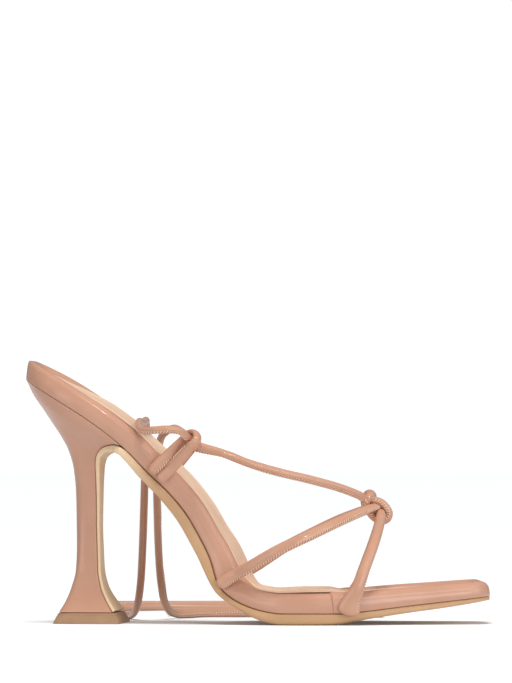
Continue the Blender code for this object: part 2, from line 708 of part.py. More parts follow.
# Side loops, ties and tips
for side, sign, rows in (("lateral", -1, LATERAL_TIE), ("medial", 1, MEDIAL_TIE)):
    loft("side_loop_" + side, loop_rings(sign), material("nude_loop_" + side, *NUDE), sandal)
    path = tie_path(sign, rows)
    cord("tie_" + side, path, LACE / 2, material("nude_tie_" + side, *NUDE), sandal, place=own)
    way = unit(path[-1] - path[-2])
    way = unit([way[0], way[1], 0])
    end = np.array([path[-1][0], path[-1][1], TIP_WIDE / 2]) + way * GAP
    tip = [end, end + way * TIP_LENGTH]
    cord("tie_tip_" + side, tip, TIP_WIDE / 2, material("gold_" + side, *GOLD, 1.0), sandal, place=own)
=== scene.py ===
# Square toe heeled sandal, right foot: rolled straps, a lace through side loops and two loose ankle ties
import math

import bpy
import numpy as np
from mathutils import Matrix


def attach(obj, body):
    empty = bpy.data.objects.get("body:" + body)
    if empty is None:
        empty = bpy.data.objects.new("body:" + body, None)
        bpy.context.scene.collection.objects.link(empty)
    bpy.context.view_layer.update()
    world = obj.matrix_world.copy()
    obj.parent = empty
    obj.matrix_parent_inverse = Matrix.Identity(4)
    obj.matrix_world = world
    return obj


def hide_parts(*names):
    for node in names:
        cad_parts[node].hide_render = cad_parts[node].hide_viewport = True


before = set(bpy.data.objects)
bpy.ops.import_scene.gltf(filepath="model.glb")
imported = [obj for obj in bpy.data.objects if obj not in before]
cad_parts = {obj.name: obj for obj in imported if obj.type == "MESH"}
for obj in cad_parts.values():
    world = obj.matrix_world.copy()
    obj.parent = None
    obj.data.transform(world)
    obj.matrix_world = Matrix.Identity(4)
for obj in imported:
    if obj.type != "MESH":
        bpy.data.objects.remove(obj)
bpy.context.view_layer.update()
mm = 0.001
scene = bpy.context.scene

# Camera: low, far off and a little towards the toe, as a product photo is taken; metres, degrees, lens in mm
viewPoint = {
    "distance": 2.8, "height": 0.086, "aim": 0.1297, "yaw": 1.2, "along": -0.0011,
    "lens": 320.3, "sensor": 36, "reach": 100,
}
yaw = math.radians(viewPoint["yaw"])
cameraData = bpy.data.cameras.new("productCamera")
cameraData.lens = viewPoint["lens"]
cameraData.sensor_width = viewPoint["sensor"]
cameraData.clip_end = viewPoint["reach"]
camera = bpy.data.objects.new("productCamera", cameraData)
camera.location = (
    viewPoint["distance"] * math.sin(yaw) + viewPoint["along"] * math.cos(yaw),
    -viewPoint["distance"] * math.cos(yaw) + viewPoint["along"] * math.sin(yaw),
    viewPoint["height"],
)
pitch = math.atan2(viewPoint["aim"] - viewPoint["height"], viewPoint["distance"])
camera.rotation_euler = (math.pi / 2 + pitch, 0, yaw)
scene.collection.objects.link(camera)
scene.camera = camera
scene.view_settings.view_transform = "Standard"
print("camera ready")


# Curves and tables
def columns(names, rows):
    return dict(zip(names, np.array(rows, float).T))


def smooth(knots, values, at):  # monotone cubic through a table's rows
    step = np.diff(knots)
    slope = np.diff(values) / step
    tangent = np.concatenate([slope[:1], np.zeros(len(slope) - 1), slope[-1:]])
    for i in range(1, len(slope)):
        if slope[i - 1] * slope[i] > 0:
            near, far = 2 * step[i] + step[i - 1], step[i] + 2 * step[i - 1]
            tangent[i] = (near + far) / (near / slope[i - 1] + far / slope[i])
    at = np.clip(at, knots[0], knots[-1])
    i = np.clip(np.searchsorted(knots, at, side="right") - 1, 0, len(step) - 1)
    t = (at - knots[i]) / step[i]
    rise = values[i] + t * t * (3 - 2 * t) * (values[i + 1] - values[i])
    return rise + step[i] * t * (1 - t) * ((1 - t) * tangent[i] - t * tangent[i + 1])


def lengths(points):
    points = np.asarray(points, float)
    return np.concatenate([[0], np.cumsum(np.linalg.norm(np.diff(points, axis=0), axis=1))])


def unit(vectors):
    vectors = np.asarray(vectors, float)
    return vectors / np.maximum(np.linalg.norm(vectors, axis=-1, keepdims=True), 1e-9)


def sampled(run, table, at):  # each column of a table at places along its run
    return np.stack([np.interp(at, run, column) for column in np.asarray(table, float).T], axis=-1)


def carried(points, values, run):  # values given at a route's points, at places along its smooth curve
    knots = lengths(points)
    return sampled(knots * run[-1] / knots[-1], values, run)


def curveThrough(points, step):  # smooth curve through points, in even steps
    points = np.asarray(points, float)
    ends = np.vstack([2 * points[0] - points[1], points, 2 * points[-1] - points[-2]])
    knots = np.concatenate([[0], np.cumsum(np.linalg.norm(np.diff(ends, axis=0), axis=1) ** 0.5)])
    fine = []
    for i in range(1, len(ends) - 2):
        k0, k1, k2, k3 = knots[i - 1:i + 3]
        p0, p1, p2, p3 = ends[i - 1:i + 3]
        k = np.linspace(k1, k2, 24, endpoint=False)[:, None]
        a1 = ((k1 - k) * p0 + (k - k0) * p1) / (k1 - k0)
        a2 = ((k2 - k) * p1 + (k - k1) * p2) / (k2 - k1)
        a3 = ((k3 - k) * p2 + (k - k2) * p3) / (k3 - k2)
        b1 = ((k2 - k) * a1 + (k - k0) * a2) / (k2 - k0)
        b2 = ((k3 - k) * a2 + (k - k1) * a3) / (k3 - k1)
        fine.append(((k2 - k) * b1 + (k - k1) * b2) / (k2 - k1))
    fine = np.vstack(fine + [points[-1:]])
    run = lengths(fine)
    return sampled(run, fine, np.linspace(0, run[-1], max(2, round(run[-1] / step) + 1)))


def ways(path):  # direction of travel at each point
    path = np.asarray(path, float)
    return unit(np.vstack([path[1:2] - path[:1], path[2:] - path[:-2], path[-1:] - path[-2:-1]]))


# The shoe's straight frame in millimetres: x heel to toe, v across (minus is the outer side), z up
footCurve = {
    "bow": 6.5, "length": 210.0, "origin": (104.95, -5.85),
    "skew": 3.0, "skewFrom": 180.0, "skewWide": 50.0,  # the toe's inner corner reaches further
}


def placed(points):  # straight frame to the part's own frame, in metres
    x, v, z = np.moveaxis(np.asarray(points, float), -1, 0)
    bow, length, start = (footCurve[key] for key in ("bow", "length", "skewFrom"))
    swing = math.pi * x / length
    turn = np.arctan(bow * math.pi / length * np.cos(swing))
    reach = np.clip((x - start) / (length - start), 0, 1) ** 2
    reach = reach * footCurve["skew"] * np.clip(0.5 + v / footCurve["skewWide"], 0, 1)
    along = x + reach + v * np.sin(turn) - footCurve["origin"][0]
    across = v * np.cos(turn) - bow * np.sin(swing) - footCurve["origin"][1]
    return np.stack([along, across, z], axis=-1) * mm


# The last, a row for each station: feather line in side view, lean, edge height, half widths, sole, twist
lastColumns = ("x", "z", "lean", "rim", "lateral", "medial", "sole", "twist")
lastRows = columns(lastColumns, (
    (-2.2, 112.6, 6, 9.4, 24.4, 24.8, 3.0, 0),
    (17.0, 101.4, 30, 9.1, 25.0, 25.5, 3.0, 0),
    (35.0, 89.3, 36, 9.0, 25.0, 25.3, 3.0, 0),
    (45.0, 81.0, 40, 9.1, 24.0, 24.2, 3.4, 0),
    (56.2, 70.3, 45, 9.2, 22.4, 22.2, 4.0, 2.0),
    (66.6, 60.2, 48, 9.1, 21.6, 21.2, 4.5, 2.8),
    (73.9, 51.4, 56, 9.0, 21.8, 21.2, 4.7, 3.2),
    (79.6, 42.0, 63, 9.0, 22.8, 22.0, 4.7, 3.5),
    (85.3, 31.0, 66, 9.9, 24.4, 23.6, 4.4, 4.0),
    (89.4, 18.6, 57, 11.5, 27.2, 26.4, 2.7, 3.4),
    (96.1, 11.4, 33, 10.4, 30.8, 29.8, 2.4, 1.2),
    (104.0, 7.4, 14, 8.8, 34.0, 33.0, 3.8, 0),
    (109.5, 6.1, 6, 8.9, 35.4, 34.5, 4.7, 0),
    (115.0, 5.4, 0, 9.0, 36.4, 35.6, 5.1, 0),
    (128.0, 5.4, 0, 9.1, 37.2, 36.4, 5.1, 0),
    (141.0, 5.4, 0, 9.2, 36.8, 36.0, 4.7, 0),
    (146.5, 5.8, -2, 9.2, 36.1, 35.4, 4.0, 0),
    (152.0, 6.4, -4, 9.1, 35.2, 34.6, 3.6, 0),
    (170.0, 8.6, -6, 8.5, 31.8, 31.6, 3.0, 0),
    (188.0, 10.6, -6, 7.8, 28.2, 28.4, 2.6, 0),
    (209.4, 12.9, -5, 7.2, 24.6, 25.0, 1.5, 0),
))
lastRun = lengths(np.stack([lastRows["x"], lastRows["z"]], axis=1))
toeRun = lastRun[-1]
fineRun = np.linspace(0, toeRun, 500)
ends = {
    "heelRound": 27.0, "heelPower": 2.1, "toeCorner": 10.0, "toeEdge": 4.5, "seatEdge": 2.5, "turn": (7, 84),
}
sides = (("lateral", -1), ("medial", 1))


def last(name, s):
    return smooth(lastRun, lastRows[name], s)


def runAt(x):
    return np.interp(x, last("x", fineRun), fineRun)


def edgeDrop(distance, radius):  # how much a rounded edge falls this far from its end
    inward = radius - np.clip(distance, 0, radius)
    return radius - np.sqrt(np.maximum(radius ** 2 - inward ** 2, 0))


def outline(s, side, inset=0.0):  # half width of the footbed, or of a piece set in from its edge
    fromHeel = np.clip((s - inset) / (ends["heelRound"] - inset), 0, 1)
    back = (1 - (1 - fromHeel) ** ends["heelPower"]) ** (1 / ends["heelPower"])
    return (last(side, s) - inset) * back - edgeDrop(toeRun - inset - s, ends["toeCorner"])


def atStation(s, v, h):  # a point h over the feather line, along the section's lean
    v, h = np.asarray(v, float), np.asarray(h, float)
    lean = np.radians(last("lean", s))
    lift = h + v * np.tan(np.radians(last("twist", s)))
    return np.stack([last("x", s) + lift * np.sin(lean), v, last("z", s) + lift * np.cos(lean)], axis=-1)


def stations(inset, middle, turns):  # places along the foot, closer together at its two round ends
    straightEnd = toeRun - inset - ends["toeCorner"]
    first, final = ends["turn"]
    turn = np.radians(np.linspace(first, final, turns))
    heel = ends["heelRound"] - (ends["heelRound"] - inset) * np.cos(turn)
    toe = toeRun - inset - ends["toeCorner"] * (1 - np.cos(np.radians(np.linspace(final, 0, turns))))
    return np.concatenate([heel, np.linspace(ends["heelRound"], straightEnd, middle), toe])


bedStations = stations(0.0, middle=190, turns=16)


# Meshes
def meshPiece(name, points, faces, looks, node, faceLooks=None, sharp=None):
    mesh = bpy.data.meshes.new(name)
    mesh.from_pydata([tuple(p) for p in np.asarray(points, float)], [], faces)
    mesh.update()
    for look in looks:
        mesh.materials.append(look)
    if faceLooks is not None:
        mesh.polygons.foreach_set("material_index", np.asarray(faceLooks, np.int32))
    mesh.polygons.foreach_set("use_smooth", np.ones(len(mesh.polygons), bool))
    if sharp:
        mesh.set_sharp_from_angle(angle=math.radians(sharp))
    piece = bpy.data.objects.new(name, mesh)
    scene.collection.objects.link(piece)
    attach(piece, "root")
    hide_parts(node)
    return piece


def loftFaces(ringCount, pointCount, first=0):
    index = first + np.arange(ringCount * pointCount).reshape(ringCount, pointCount)
    ahead = np.roll(index, -1, axis=1)
    quads = np.stack([index[:-1], ahead[:-1], ahead[1:], index[1:]], axis=-1).reshape(-1, 4)
    return [tuple(q) for q in quads.tolist()] + [tuple(index[0][::-1].tolist()), tuple(index[-1].tolist())]


def outwardFaces(points, faces):  # turns a closed skin's faces round if they look inward
    points = np.asarray(points, float)
    fans = np.array([(face[0], b, c) for face in faces for b, c in zip(face[1:-1], face[2:])])
    a, b, c = (points[fans[:, k]] for k in range(3))
    volume = np.einsum("ij,ij->", a, np.cross(b, c))
    return [tuple(face[::-1]) for face in faces] if volume < 0 else faces


def loft(rings):
    rings = np.asarray(rings, float)
    points = rings.reshape(-1, 3)
    return points, outwardFaces(points, loftFaces(rings.shape[0], rings.shape[1]))


def loftPiece(name, node, sections, look, sharp=None):
    points, faces = loft(placed(sections))
    return meshPiece(name, points, faces, [look], node, sharp=sharp)


def joined(parts):  # several (points, faces, material index) as one mesh's lists
    points, faces, looks, count = [], [], [], 0
    for partPoints, partFaces, look in parts:
        points.append(np.asarray(partPoints, float))
        faces += [tuple(i + count for i in face) for face in partFaces]
        looks += [look] * len(partFaces)
        count += len(partPoints)
    return np.vstack(points), faces, looks


# Materials
def toLinear(colour):
    parts = [int(colour[i:i + 2], 16) / 255 for i in (1, 3, 5)]
    return tuple(c / 12.92 if c <= 0.04045 else ((c + 0.055) / 1.055) ** 2.4 for c in parts) + (1.0,)


def addNode(tree, kind, settings=None, links=None, feeds=None):
    node = tree.nodes.new("ShaderNode" + kind)
    for key, value in (settings or {}).items():
        if key in node.inputs:
            node.inputs[key].default_value = value
        else:
            setattr(node, key, value)
    for key, source in (links or {}).items():
        tree.links.new(source, node.inputs[key])
    for key, target in (feeds or {}).items():
        tree.links.new(node.outputs[key], target)
    return node


def newMaterial(name, fixed):  # a Principled material with its fixed values on its own sockets
    made = bpy.data.materials.new(name)
    made.use_nodes = True
    shader = made.node_tree.nodes["Principled BSDF"].inputs
    for key, value in fixed.items():
        shader[key].default_value = value
    return made, made.node_tree, shader


def perMetre(size):  # pattern scale for a feature of this many millimetres
    return 1 / (size * mm)


def mottled(tree, shader, size, detail, tones, stops=(0.0, 1.0)):  # dark and light in clouds of one size
    where = addNode(tree, "TexCoord").outputs["Object"]
    scale = {"Scale": perMetre(size), "Detail": detail}
    clouds = addNode(tree, "TexNoise", scale, {"Vector": where}).outputs["Fac"]
    ramp = addNode(tree, "ValToRGB", {}, {"Fac": clouds}, {"Color": shader["Base Color"]})
    for element, stop, tone in zip(ramp.color_ramp.elements, stops, tones):
        element.position = stop
        element.color = toLinear(tone)
    return where, clouds, ramp.outputs["Color"]


# Polyurethane coated cloth, roller coated and glazed: even pink beige, faint pebble under a clear gloss
def glazedPolyurethane(name, tones, grain, gloss):
    made, tree, shader = newMaterial(name, {
        "IOR": 1.5, "Coat Weight": 0.5, "Coat Roughness": 0.1, "Coat IOR": 1.5,
    })
    where, _, _ = mottled(tree, shader, 14, 3.0, tones, (0.3, 0.7))
    smears = addNode(tree, "TexNoise", {"Scale": perMetre(6), "Detail": 4.0}, {"Vector": where})
    addNode(
        tree, "MapRange", {"To Min": gloss - 0.05, "To Max": gloss + 0.07},
        {"Value": smears.outputs["Fac"]}, {"Result": shader["Roughness"]},
    )
    # real pebble is about 0.3 mm, too fine to show here, so it is drawn at the grain given
    pebble = addNode(
        tree, "TexVoronoi", {"Scale": perMetre(grain), "feature": "SMOOTH_F1"}, {"Vector": where},
    )
    fine = addNode(
        tree, "Bump", {"Strength": 0.05, "Distance": 0.1 * mm},
        {"Height": pebble.outputs["Distance"]},
    )
    waves = addNode(tree, "TexNoise", {"Scale": perMetre(5), "Detail": 2.0}, {"Vector": where})
    addNode(
        tree, "Bump", {"Strength": 0.12, "Distance": 0.25 * mm},
        {"Height": waves.outputs["Fac"], "Normal": fine.outputs["Normal"]}, {"Normal": shader["Normal"]},
    )
    return made


wrapLook = glazedPolyurethane("glazedPolyurethaneWrap", ("#C59279", "#CC9A80"), grain=0.9, gloss=0.36)
strapLook = glazedPolyurethane("glazedPolyurethaneRolled", ("#C49177", "#CC9A7E"), grain=0.8, gloss=0.32)


# Bonded polyester sewing thread, spun and waxed: paler than the straps, with a soft sheen and a fine twist
def spunThread():
    made, tree, shader = newMaterial("bondedPolyesterThread", {
        "IOR": 1.5, "Sheen Weight": 0.25, "Roughness": 0.5,
    })
    _, fibres, _ = mottled(tree, shader, 0.4, 2.0, ("#DDB598", "#F2DAC2"))  # real fibres are finer
    addNode(
        tree, "Bump", {"Strength": 0.3, "Distance": 0.08 * mm},
        {"Height": fibres}, {"Normal": shader["Normal"]},
    )
    return made


threadLook = spunThread()


# Polyurethane lining leather, embossed and left satin: cream, finely grained, nearly without shine
def embossedLining():
    made, tree, shader = newMaterial("embossedLiningCream", {
        "IOR": 1.48, "Coat Weight": 0.06, "Coat Roughness": 0.3,
    })
    where, clouds, _ = mottled(tree, shader, 18, 4.0, ("#E6C2A4", "#EDCBAF"), (0.3, 0.7))
    addNode(
        tree, "MapRange", {"To Min": 0.42, "To Max": 0.6},
        {"Value": clouds}, {"Result": shader["Roughness"]},
    )
    # the grain is 0.5 mm on the real one, drawn coarser to show
    grain = addNode(tree, "TexVoronoi", {"Scale": perMetre(1.1)}, {"Vector": where})
    addNode(
        tree, "Bump", {"Strength": 0.2, "Distance": 0.15 * mm},
        {"Height": grain.outputs["Distance"]}, {"Normal": shader["Normal"]},
    )
    return made


sockLook = embossedLining()


# Resin rubber sheet, cut and buffed: an even warm tan with fine buffing lines and a low satin shine
def buffedResin(name, tones, lines, rough, breast=None):
    made, tree, shader = newMaterial(name, {"IOR": 1.52})
    where, _, tone = mottled(tree, shader, 11, 4.0, tones, (0.3, 0.7))
    if breast:  # painted light: the breast flap is painted paler, standing in for the light that falls on it from the front right
        place = addNode(tree, "SeparateXYZ", {}, {"Vector": where}).outputs["X"]
        breastLightShare = addNode(
            tree, "MapRange", {"From Min": breast["from"] * mm, "From Max": breast["to"] * mm},
            {"Value": place},
        )
        addNode(
            tree, "MixRGB", {"Color2": toLinear(breast["tone"])},
            {"Fac": breastLightShare.outputs["Result"], "Color1": tone}, {"Color": shader["Base Color"]},
        )
    along = addNode(tree, "Mapping", {"Scale": (0.06, 1.0, 1.0)}, {"Vector": where})  # as it is buffed
    buffing = addNode(
        tree, "TexNoise", {"Scale": perMetre(lines), "Detail": 3.0}, {"Vector": along.outputs["Vector"]},
    )
    addNode(
        tree, "MapRange", {"To Min": rough - 0.08, "To Max": rough + 0.1},
        {"Value": buffing.outputs["Fac"]}, {"Result": shader["Roughness"]},
    )
    addNode(
        tree, "Bump", {"Strength": 0.15, "Distance": 0.1 * mm},
        {"Height": buffing.outputs["Fac"]}, {"Normal": shader["Normal"]},
    )
    return made


# painted light: the sheet down the heel's breast gets a paler tone, painted as if lit from the front right
paintedBreastLight = {"tone": "#F0D2AC", "from": -46, "to": -64}  # along the part's own x
soleLook = buffedResin("buffedResinSole", ("#C49A70", "#CDA37A"), lines=0.7, rough=0.45, breast=paintedBreastLight)
liftLook = buffedResin("castUrethaneLift", ("#A48163", "#B08D6E"), lines=0.8, rough=0.5)


# Zinc alloy sleeve, rolled and gold plated: bright pale yellow metal, sharp reflections, hairline marks
def platedGold():
    made, tree, shader = newMaterial("goldPlatedSleeve", {"Metallic": 1.0})
    _, marks, _ = mottled(tree, shader, 0.8, 4.0, ("#DDB97A", "#EBCF98"))
    addNode(
        tree, "MapRange", {"To Min": 0.12, "To Max": 0.24},
        {"Value": marks}, {"Result": shader["Roughness"]},
    )
    addNode(
        tree, "Bump", {"Strength": 0.04, "Distance": 0.05 * mm},
        {"Height": marks}, {"Normal": shader["Normal"]},
    )
    return made


goldLook = platedGold()
print("materials ready")

# Rolled straps and cords: a skin drawn round a core, its two edges whipped together along one side
# sizes in millimetres, places and widths round the strap in degrees
seam = {
    "pitch": 1.3, "groove": 0.3, "grooveWide": 8, "lip": 0.15, "lipAt": 21, "lipWide": 9, "dent": 0.14,
    "span": 30.0, "slant": 0.5, "threadWide": 0.25, "threadHigh": 0.17, "proud": 0.16, "tuck": 0.34,
}
seamAngles = (0, 6, 12, 18, 25, 33, 42, 54, 70, 88, 106, 124, 142, 161)
profile = np.radians(np.array([*seamAngles, 180, *(360 - a for a in seamAngles[:0:-1])], float))


def offSeam(angle):  # signed degrees from the seam
    return (np.degrees(angle) + 180) % 360 - 180


def seamRelief(angle, run, size):  # groove, scalloped lips and thread dents, in millimetres
    off = np.abs(offSeam(angle))
    beat = 0.5 + 0.5 * np.cos(2 * math.pi * run / seam["pitch"])
    groove = -seam["groove"] * np.exp(-(off / seam["grooveWide"]) ** 2)
    lips = seam["lip"] * np.exp(-((off - seam["lipAt"]) / seam["lipWide"]) ** 2) * (0.35 + 0.65 * (1 - beat))
    dents = -seam["dent"] * np.exp(-((off - seam["span"]) / seam["grooveWide"]) ** 2) * beat
    return (groove + lips + dents) * size


def skinAt(body, run, angle, lift):  # a point on the rolled skin, lift over it, and the way out of it
    path, across, out = (sampled(body["run"], body[key], run) for key in ("path", "across", "out"))
    wide, thick = (np.interp(run, body["run"], body[key])[..., None] / 2 for key in ("wide", "thick"))
    turn = (np.interp(run, body["run"], body["seam"]) + angle)[..., None]
    normal = unit(across * np.cos(turn) / wide + out * np.sin(turn) / thick)
    lift = np.asarray(lift, float)[..., None]
    return path + across * np.cos(turn) * wide + out * np.sin(turn) * thick + normal * lift, normal


def rolledBody(path, outward, wide, thick, seamTurn):
    path = np.asarray(path, float)
    way = ways(path)
    across = unit(np.cross(way, outward))
    full = np.ones(len(path))
    return {
        "path": path, "run": lengths(path), "way": way, "across": across, "out": np.cross(across, way),
        "wide": wide * full, "thick": thick * full, "seam": np.radians(seamTurn) * full,
    }


crumple = {"gather": 6.0, "pitch": 1.5}  # how soon a bend crumples the skin, and the folds' spacing


def rolledSkin(body, place, size=1.0, wrinkle=0.0):
    run = np.repeat(body["run"][:, None], len(profile), axis=1)
    angle = np.repeat(profile[None], len(body["run"]), axis=0)
    small = np.clip(body["thick"] / np.max(body["thick"]), 0, 1)[:, None]
    lift = seamRelief(angle, run, size) * small
    if wrinkle:  # the skin crumples on the inside of a bend
        bend = np.gradient(body["way"], body["run"], axis=0)
        _, normal = skinAt(body, run, angle, 0 * lift)
        inside = np.clip(np.einsum("ijk,ik->ij", normal, bend) * crumple["gather"], 0, 1)
        wander = 1.3 * np.sin(run * 1.1) + 0.8 * np.sin(angle * 3)  # no two folds are alike
        folds = 0.5 + 0.5 * np.sin(2 * math.pi * run / crumple["pitch"] + wander)
        lift = lift - wrinkle * inside * folds * small
    points, _ = skinAt(body, run, angle, lift)
    return loft(place(points))


def whipStitches(body, place, start, stop, size=1.0):  # slanted threads over the seam, one mesh
    middles = np.arange(start, stop, seam["pitch"])
    steps, sidesRound = np.linspace(-1, 1, 7), 6
    run = middles[:, None] + steps[None] * seam["slant"] * seam["pitch"]
    run = np.clip(run, body["run"][0], body["run"][-1])
    angle = np.radians(steps[None] * seam["span"] * 1.02) + 0 * run  # ends just past the dents
    lift = (seam["proud"] - seam["tuck"] * np.abs(steps[None]) ** 3) * size + 0 * run
    centre, normal = skinAt(body, run, angle, lift)
    way = unit(np.gradient(centre, axis=1))
    beside = unit(np.cross(way, normal))
    taper = (1 - 0.45 * np.abs(steps) ** 4)[None, :, None, None] * size
    turn = np.linspace(0, 2 * math.pi, sidesRound, endpoint=False)[None, None, :, None]
    ring = beside[:, :, None] * np.cos(turn) * seam["threadWide"]
    ring = ring + normal[:, :, None] * np.sin(turn) * seam["threadHigh"]
    points = place(centre[:, :, None] + ring * taper).reshape(-1, 3)
    count = len(steps) * sidesRound
    one = outwardFaces(points[:count], loftFaces(len(steps), sidesRound))
    return points, [tuple(i + k * count for i in face) for k in range(len(middles)) for face in one]


def strapPiece(name, node, parts): # rolled skins and their threads as one piece
    points, faces, looks = joined(parts)
    return meshPiece(name, points, faces, [strapLook, threadLook], node, looks)


def roundedEnd(run, reach):  # how a piece draws in at its two ends
    start = np.clip(run / reach, 0.002, 1)
    end = np.clip((run[-1] - run) / reach, 0.002, 1)
    return np.sqrt(1 - (1 - start) ** 2) * np.sqrt(1 - (1 - end) ** 2)


def carriedFrame(path, firstOut, twist):  # a direction carried along a cord without twisting, then turned
    way = ways(path)
    out = np.zeros_like(way)
    out[0] = unit(firstOut - way[0] * np.dot(firstOut, way[0]))
    for i in range(1, len(path)):
        kept = out[i - 1] - way[i] * np.dot(out[i - 1], way[i])
        out[i] = kept / np.linalg.norm(kept)
    side = np.cross(way, out)
    angle = np.radians(twist)[:, None]
    return out * np.cos(angle) + side * np.sin(angle)


# The lace: hitched round both straps, a bar down each side, through its loop and on as a tie
lace = {
    "wide": 3.6, "step": seam["pitch"] / 4,
    "hitch": (160.4, 52.7), "hitchAlong": (0.66, -0.75), "bightRun": 4.5, "bightSwell": (2.4, 2.6),
    "eyes": {-1: (75.6, -27.0, 84.4), 1: (71.8, 26.4, 83.3)}, "eyeAxis": (-0.51, 0.70, 0.50),
    # places along the eye's axis: into it, the joint of lace and tie, where the tie leaves, its first lead
    "into": (-4.4, -1.5), "join": 1.6, "exit": 3.4, "lead": 8.0,
    "barStart": 156.0, "barSeam": ((100, 122), (-0.5, 0.75)),
    "bar": (
        (151.2, 5.5, 58.9), (142.3, 10.5, 62.4), (128.5, 16.5, 66.3),
        (114.8, 20.5, 69.7), (101.1, 23.5, 73.8), (89.0, 24.2, 78.6),
    ),
}


def eyeAxis(sign):
    return unit([lace["eyeAxis"][0], sign * lace["eyeAxis"][1], lace["eyeAxis"][2]])


def eyePoint(sign, distance):
    return np.array(lace["eyes"][sign]) + eyeAxis(sign) * distance


def eyeSeam(sign):  # the way that the lace's seam faces at its eye
    return np.array([0.35, sign * -0.2, -1.0])


# The ties in the part's own frame, y counted outward from the middle: over the sock or straight down,
# then in slack bends on the floor behind the shoe
tie = {
    "length": 727.0, "tipWide": 5.2, "tipLength": 12.5, "gap": 0.3, "tipRise": 25.0,
    # how the seam wanders, in degrees and millimetres, and how uneven the cord is
    "sway": (70, 62), "drift": (95, 171), "under": (150, 76, 18), "uneven": (0.04, 23),
    "lateral": (
        (-40.9, 35.5, 89.2), (-46.9, 34.8, 88.8), (-51.8, 29.9, 88.7), (-54.2, 22.8, 90.6),
        (-54.3, 12.6, 92.7), (-53.6, -1.4, 92.1), (-52.8, -14.0, 93.0), (-52.7, -22.2, 93.1),
        (-52.9, -29.4, 89.6), (-53.2, -32.8, 82.2), (-53.7, -33.8, 66.0), (-54.6, -34.8, 38.0),
        (-55.8, -37.4, 17.5), (-57.8, -45.4, 6.4), (-61.0, -58.0, 2.1), (-68.0, -76.0, 2.1),
        (-78.0, -100.0, 2.1), (-83.0, -128.0, 2.1), (-82.0, -152.0, 2.1), (-74.0, -174.0, 2.1),
        (-56.0, -187.0, 2.1), (-24.0, -191.5, 2.1), (14.0, -190.5, 2.1), (44.0, -189.5, 2.1),
        (52.2, -192.9, 2.1), (55.6, -201.1, 2.1), (52.2, -209.3, 2.1), (44.0, -212.7, 2.1),
        (10.0, -213.5, 2.1), (-34.0, -211.0, 2.1), (-73.0, -212.6, 2.1), (-81.0, -216.0, 2.1),
        (-84.4, -224.3, 2.1), (-81.0, -232.6, 2.1), (-73.0, -236.0, 2.1), (-30.0, -236.8, 2.1),
        (8.0, -234.0, 2.1), (50.0, -233.0, 2.1),
    ),
    "medial": (
        (-40.2, 38.0, 89.8), (-46.0, 44.2, 86.2), (-48.2, 46.9, 75.0), (-48.3, 48.4, 46.0),
        (-46.8, 51.6, 18.0), (-44.6, 59.6, 6.2), (-40.0, 71.0, 2.1), (-27.0, 79.0, 2.1),
        (-4.0, 81.5, 2.1), (47.0, 80.0, 2.1), (53.8, 82.8, 2.1), (56.6, 89.6, 2.1),
        (53.8, 96.4, 2.1), (47.0, 99.2, 2.1), (-35.0, 99.2, 2.1), (-41.8, 102.0, 2.1),
        (-44.6, 108.8, 2.1), (-41.8, 115.6, 2.1), (-35.0, 118.4, 2.1), (47.0, 118.4, 2.1),
        (53.8, 121.2, 2.1), (56.6, 128.0, 2.1), (53.8, 134.8, 2.1), (47.0, 137.6, 2.1),
        (-35.0, 137.6, 2.1), (-41.8, 140.4, 2.1), (-44.6, 147.2, 2.1), (-41.8, 154.0, 2.1),
        (-35.0, 156.8, 2.1), (47.0, 156.8, 2.1), (53.8, 159.6, 2.1), (56.6, 166.4, 2.1),
        (53.8, 173.2, 2.1), (47.0, 176.0, 2.1), (6.0, 177.0, 2.1), (-14.0, 175.5, 2.1),
    ),
}


def inOwnFrame(points):
    return np.asarray(points, float) * mm


def tiePath(side, sign):
    points = [placed(eyePoint(sign, lace[key])) / mm for key in ("join", "exit", "lead")]
    points += [np.array([x, sign * y, z]) for x, y, z in tie[side]]
    path = curveThrough(points, lace["step"])
    path = path[lengths(path) <= tie["length"] + lace["exit"] - lace["join"]]
    run = lengths(path)
    rise = np.clip((run - run[-1] + tie["tipRise"]) / tie["tipRise"], 0, 1)
    path[:, 2] = np.maximum(path[:, 2], lace["wide"] / 2)
    path[:, 2] += rise * (tie["tipWide"] / 2 - path[:, 2])
    return path


def tieTwist(run, sign):  # the seam wanders round a loose tie, and is turned under on the sock
    swayTurn, swayRun = tie["sway"]
    driftTurn, driftRun = tie["drift"]
    underTurn, underAt, underRun = tie["under"]
    wander = swayTurn * (np.sin(run / swayRun + sign) - math.sin(sign)) + driftTurn * np.sin(run / driftRun)
    return wander - underTurn * np.exp(-((run - underAt) / underRun) ** 2)


# Metal sleeve: an open C in section, its edges nearly meeting, a fine ring pressed in near each end
sleeve = {
    "slit": 17, "slitAt": 112, "around": 44, "wall": 0.45, "coreWide": 3.9, "coreShort": 0.6, "coreRings": 30,
    "end": ((0, -0.3), (0.12, -0.1), (0.35, 0), (1.1, 0), (1.3, -0.12), (1.5, 0)),  # along it, how far in
}


def sleeveRings(start, way):
    across = unit(np.cross([0, 0, 1], way))
    up = np.cross(way, across)
    slit, radius = math.radians(sleeve["slit"]), tie["tipWide"] / 2
    turn = np.linspace(slit, 2 * math.pi - slit, sleeve["around"]) + math.radians(sleeve["slitAt"])
    shape = sleeve["end"] + tuple((tie["tipLength"] - along, drop) for along, drop in sleeve["end"][::-1])
    rings = []
    for along, drop in shape:
        outer, inner = radius + drop, radius - sleeve["wall"]
        loop = [(outer * math.cos(a), outer * math.sin(a)) for a in turn]
        loop += [(inner * math.cos(a), inner * math.sin(a)) for a in turn[::-1]]
        rings.append([start + way * along + across * y + up * z for y, z in loop])
    return rings


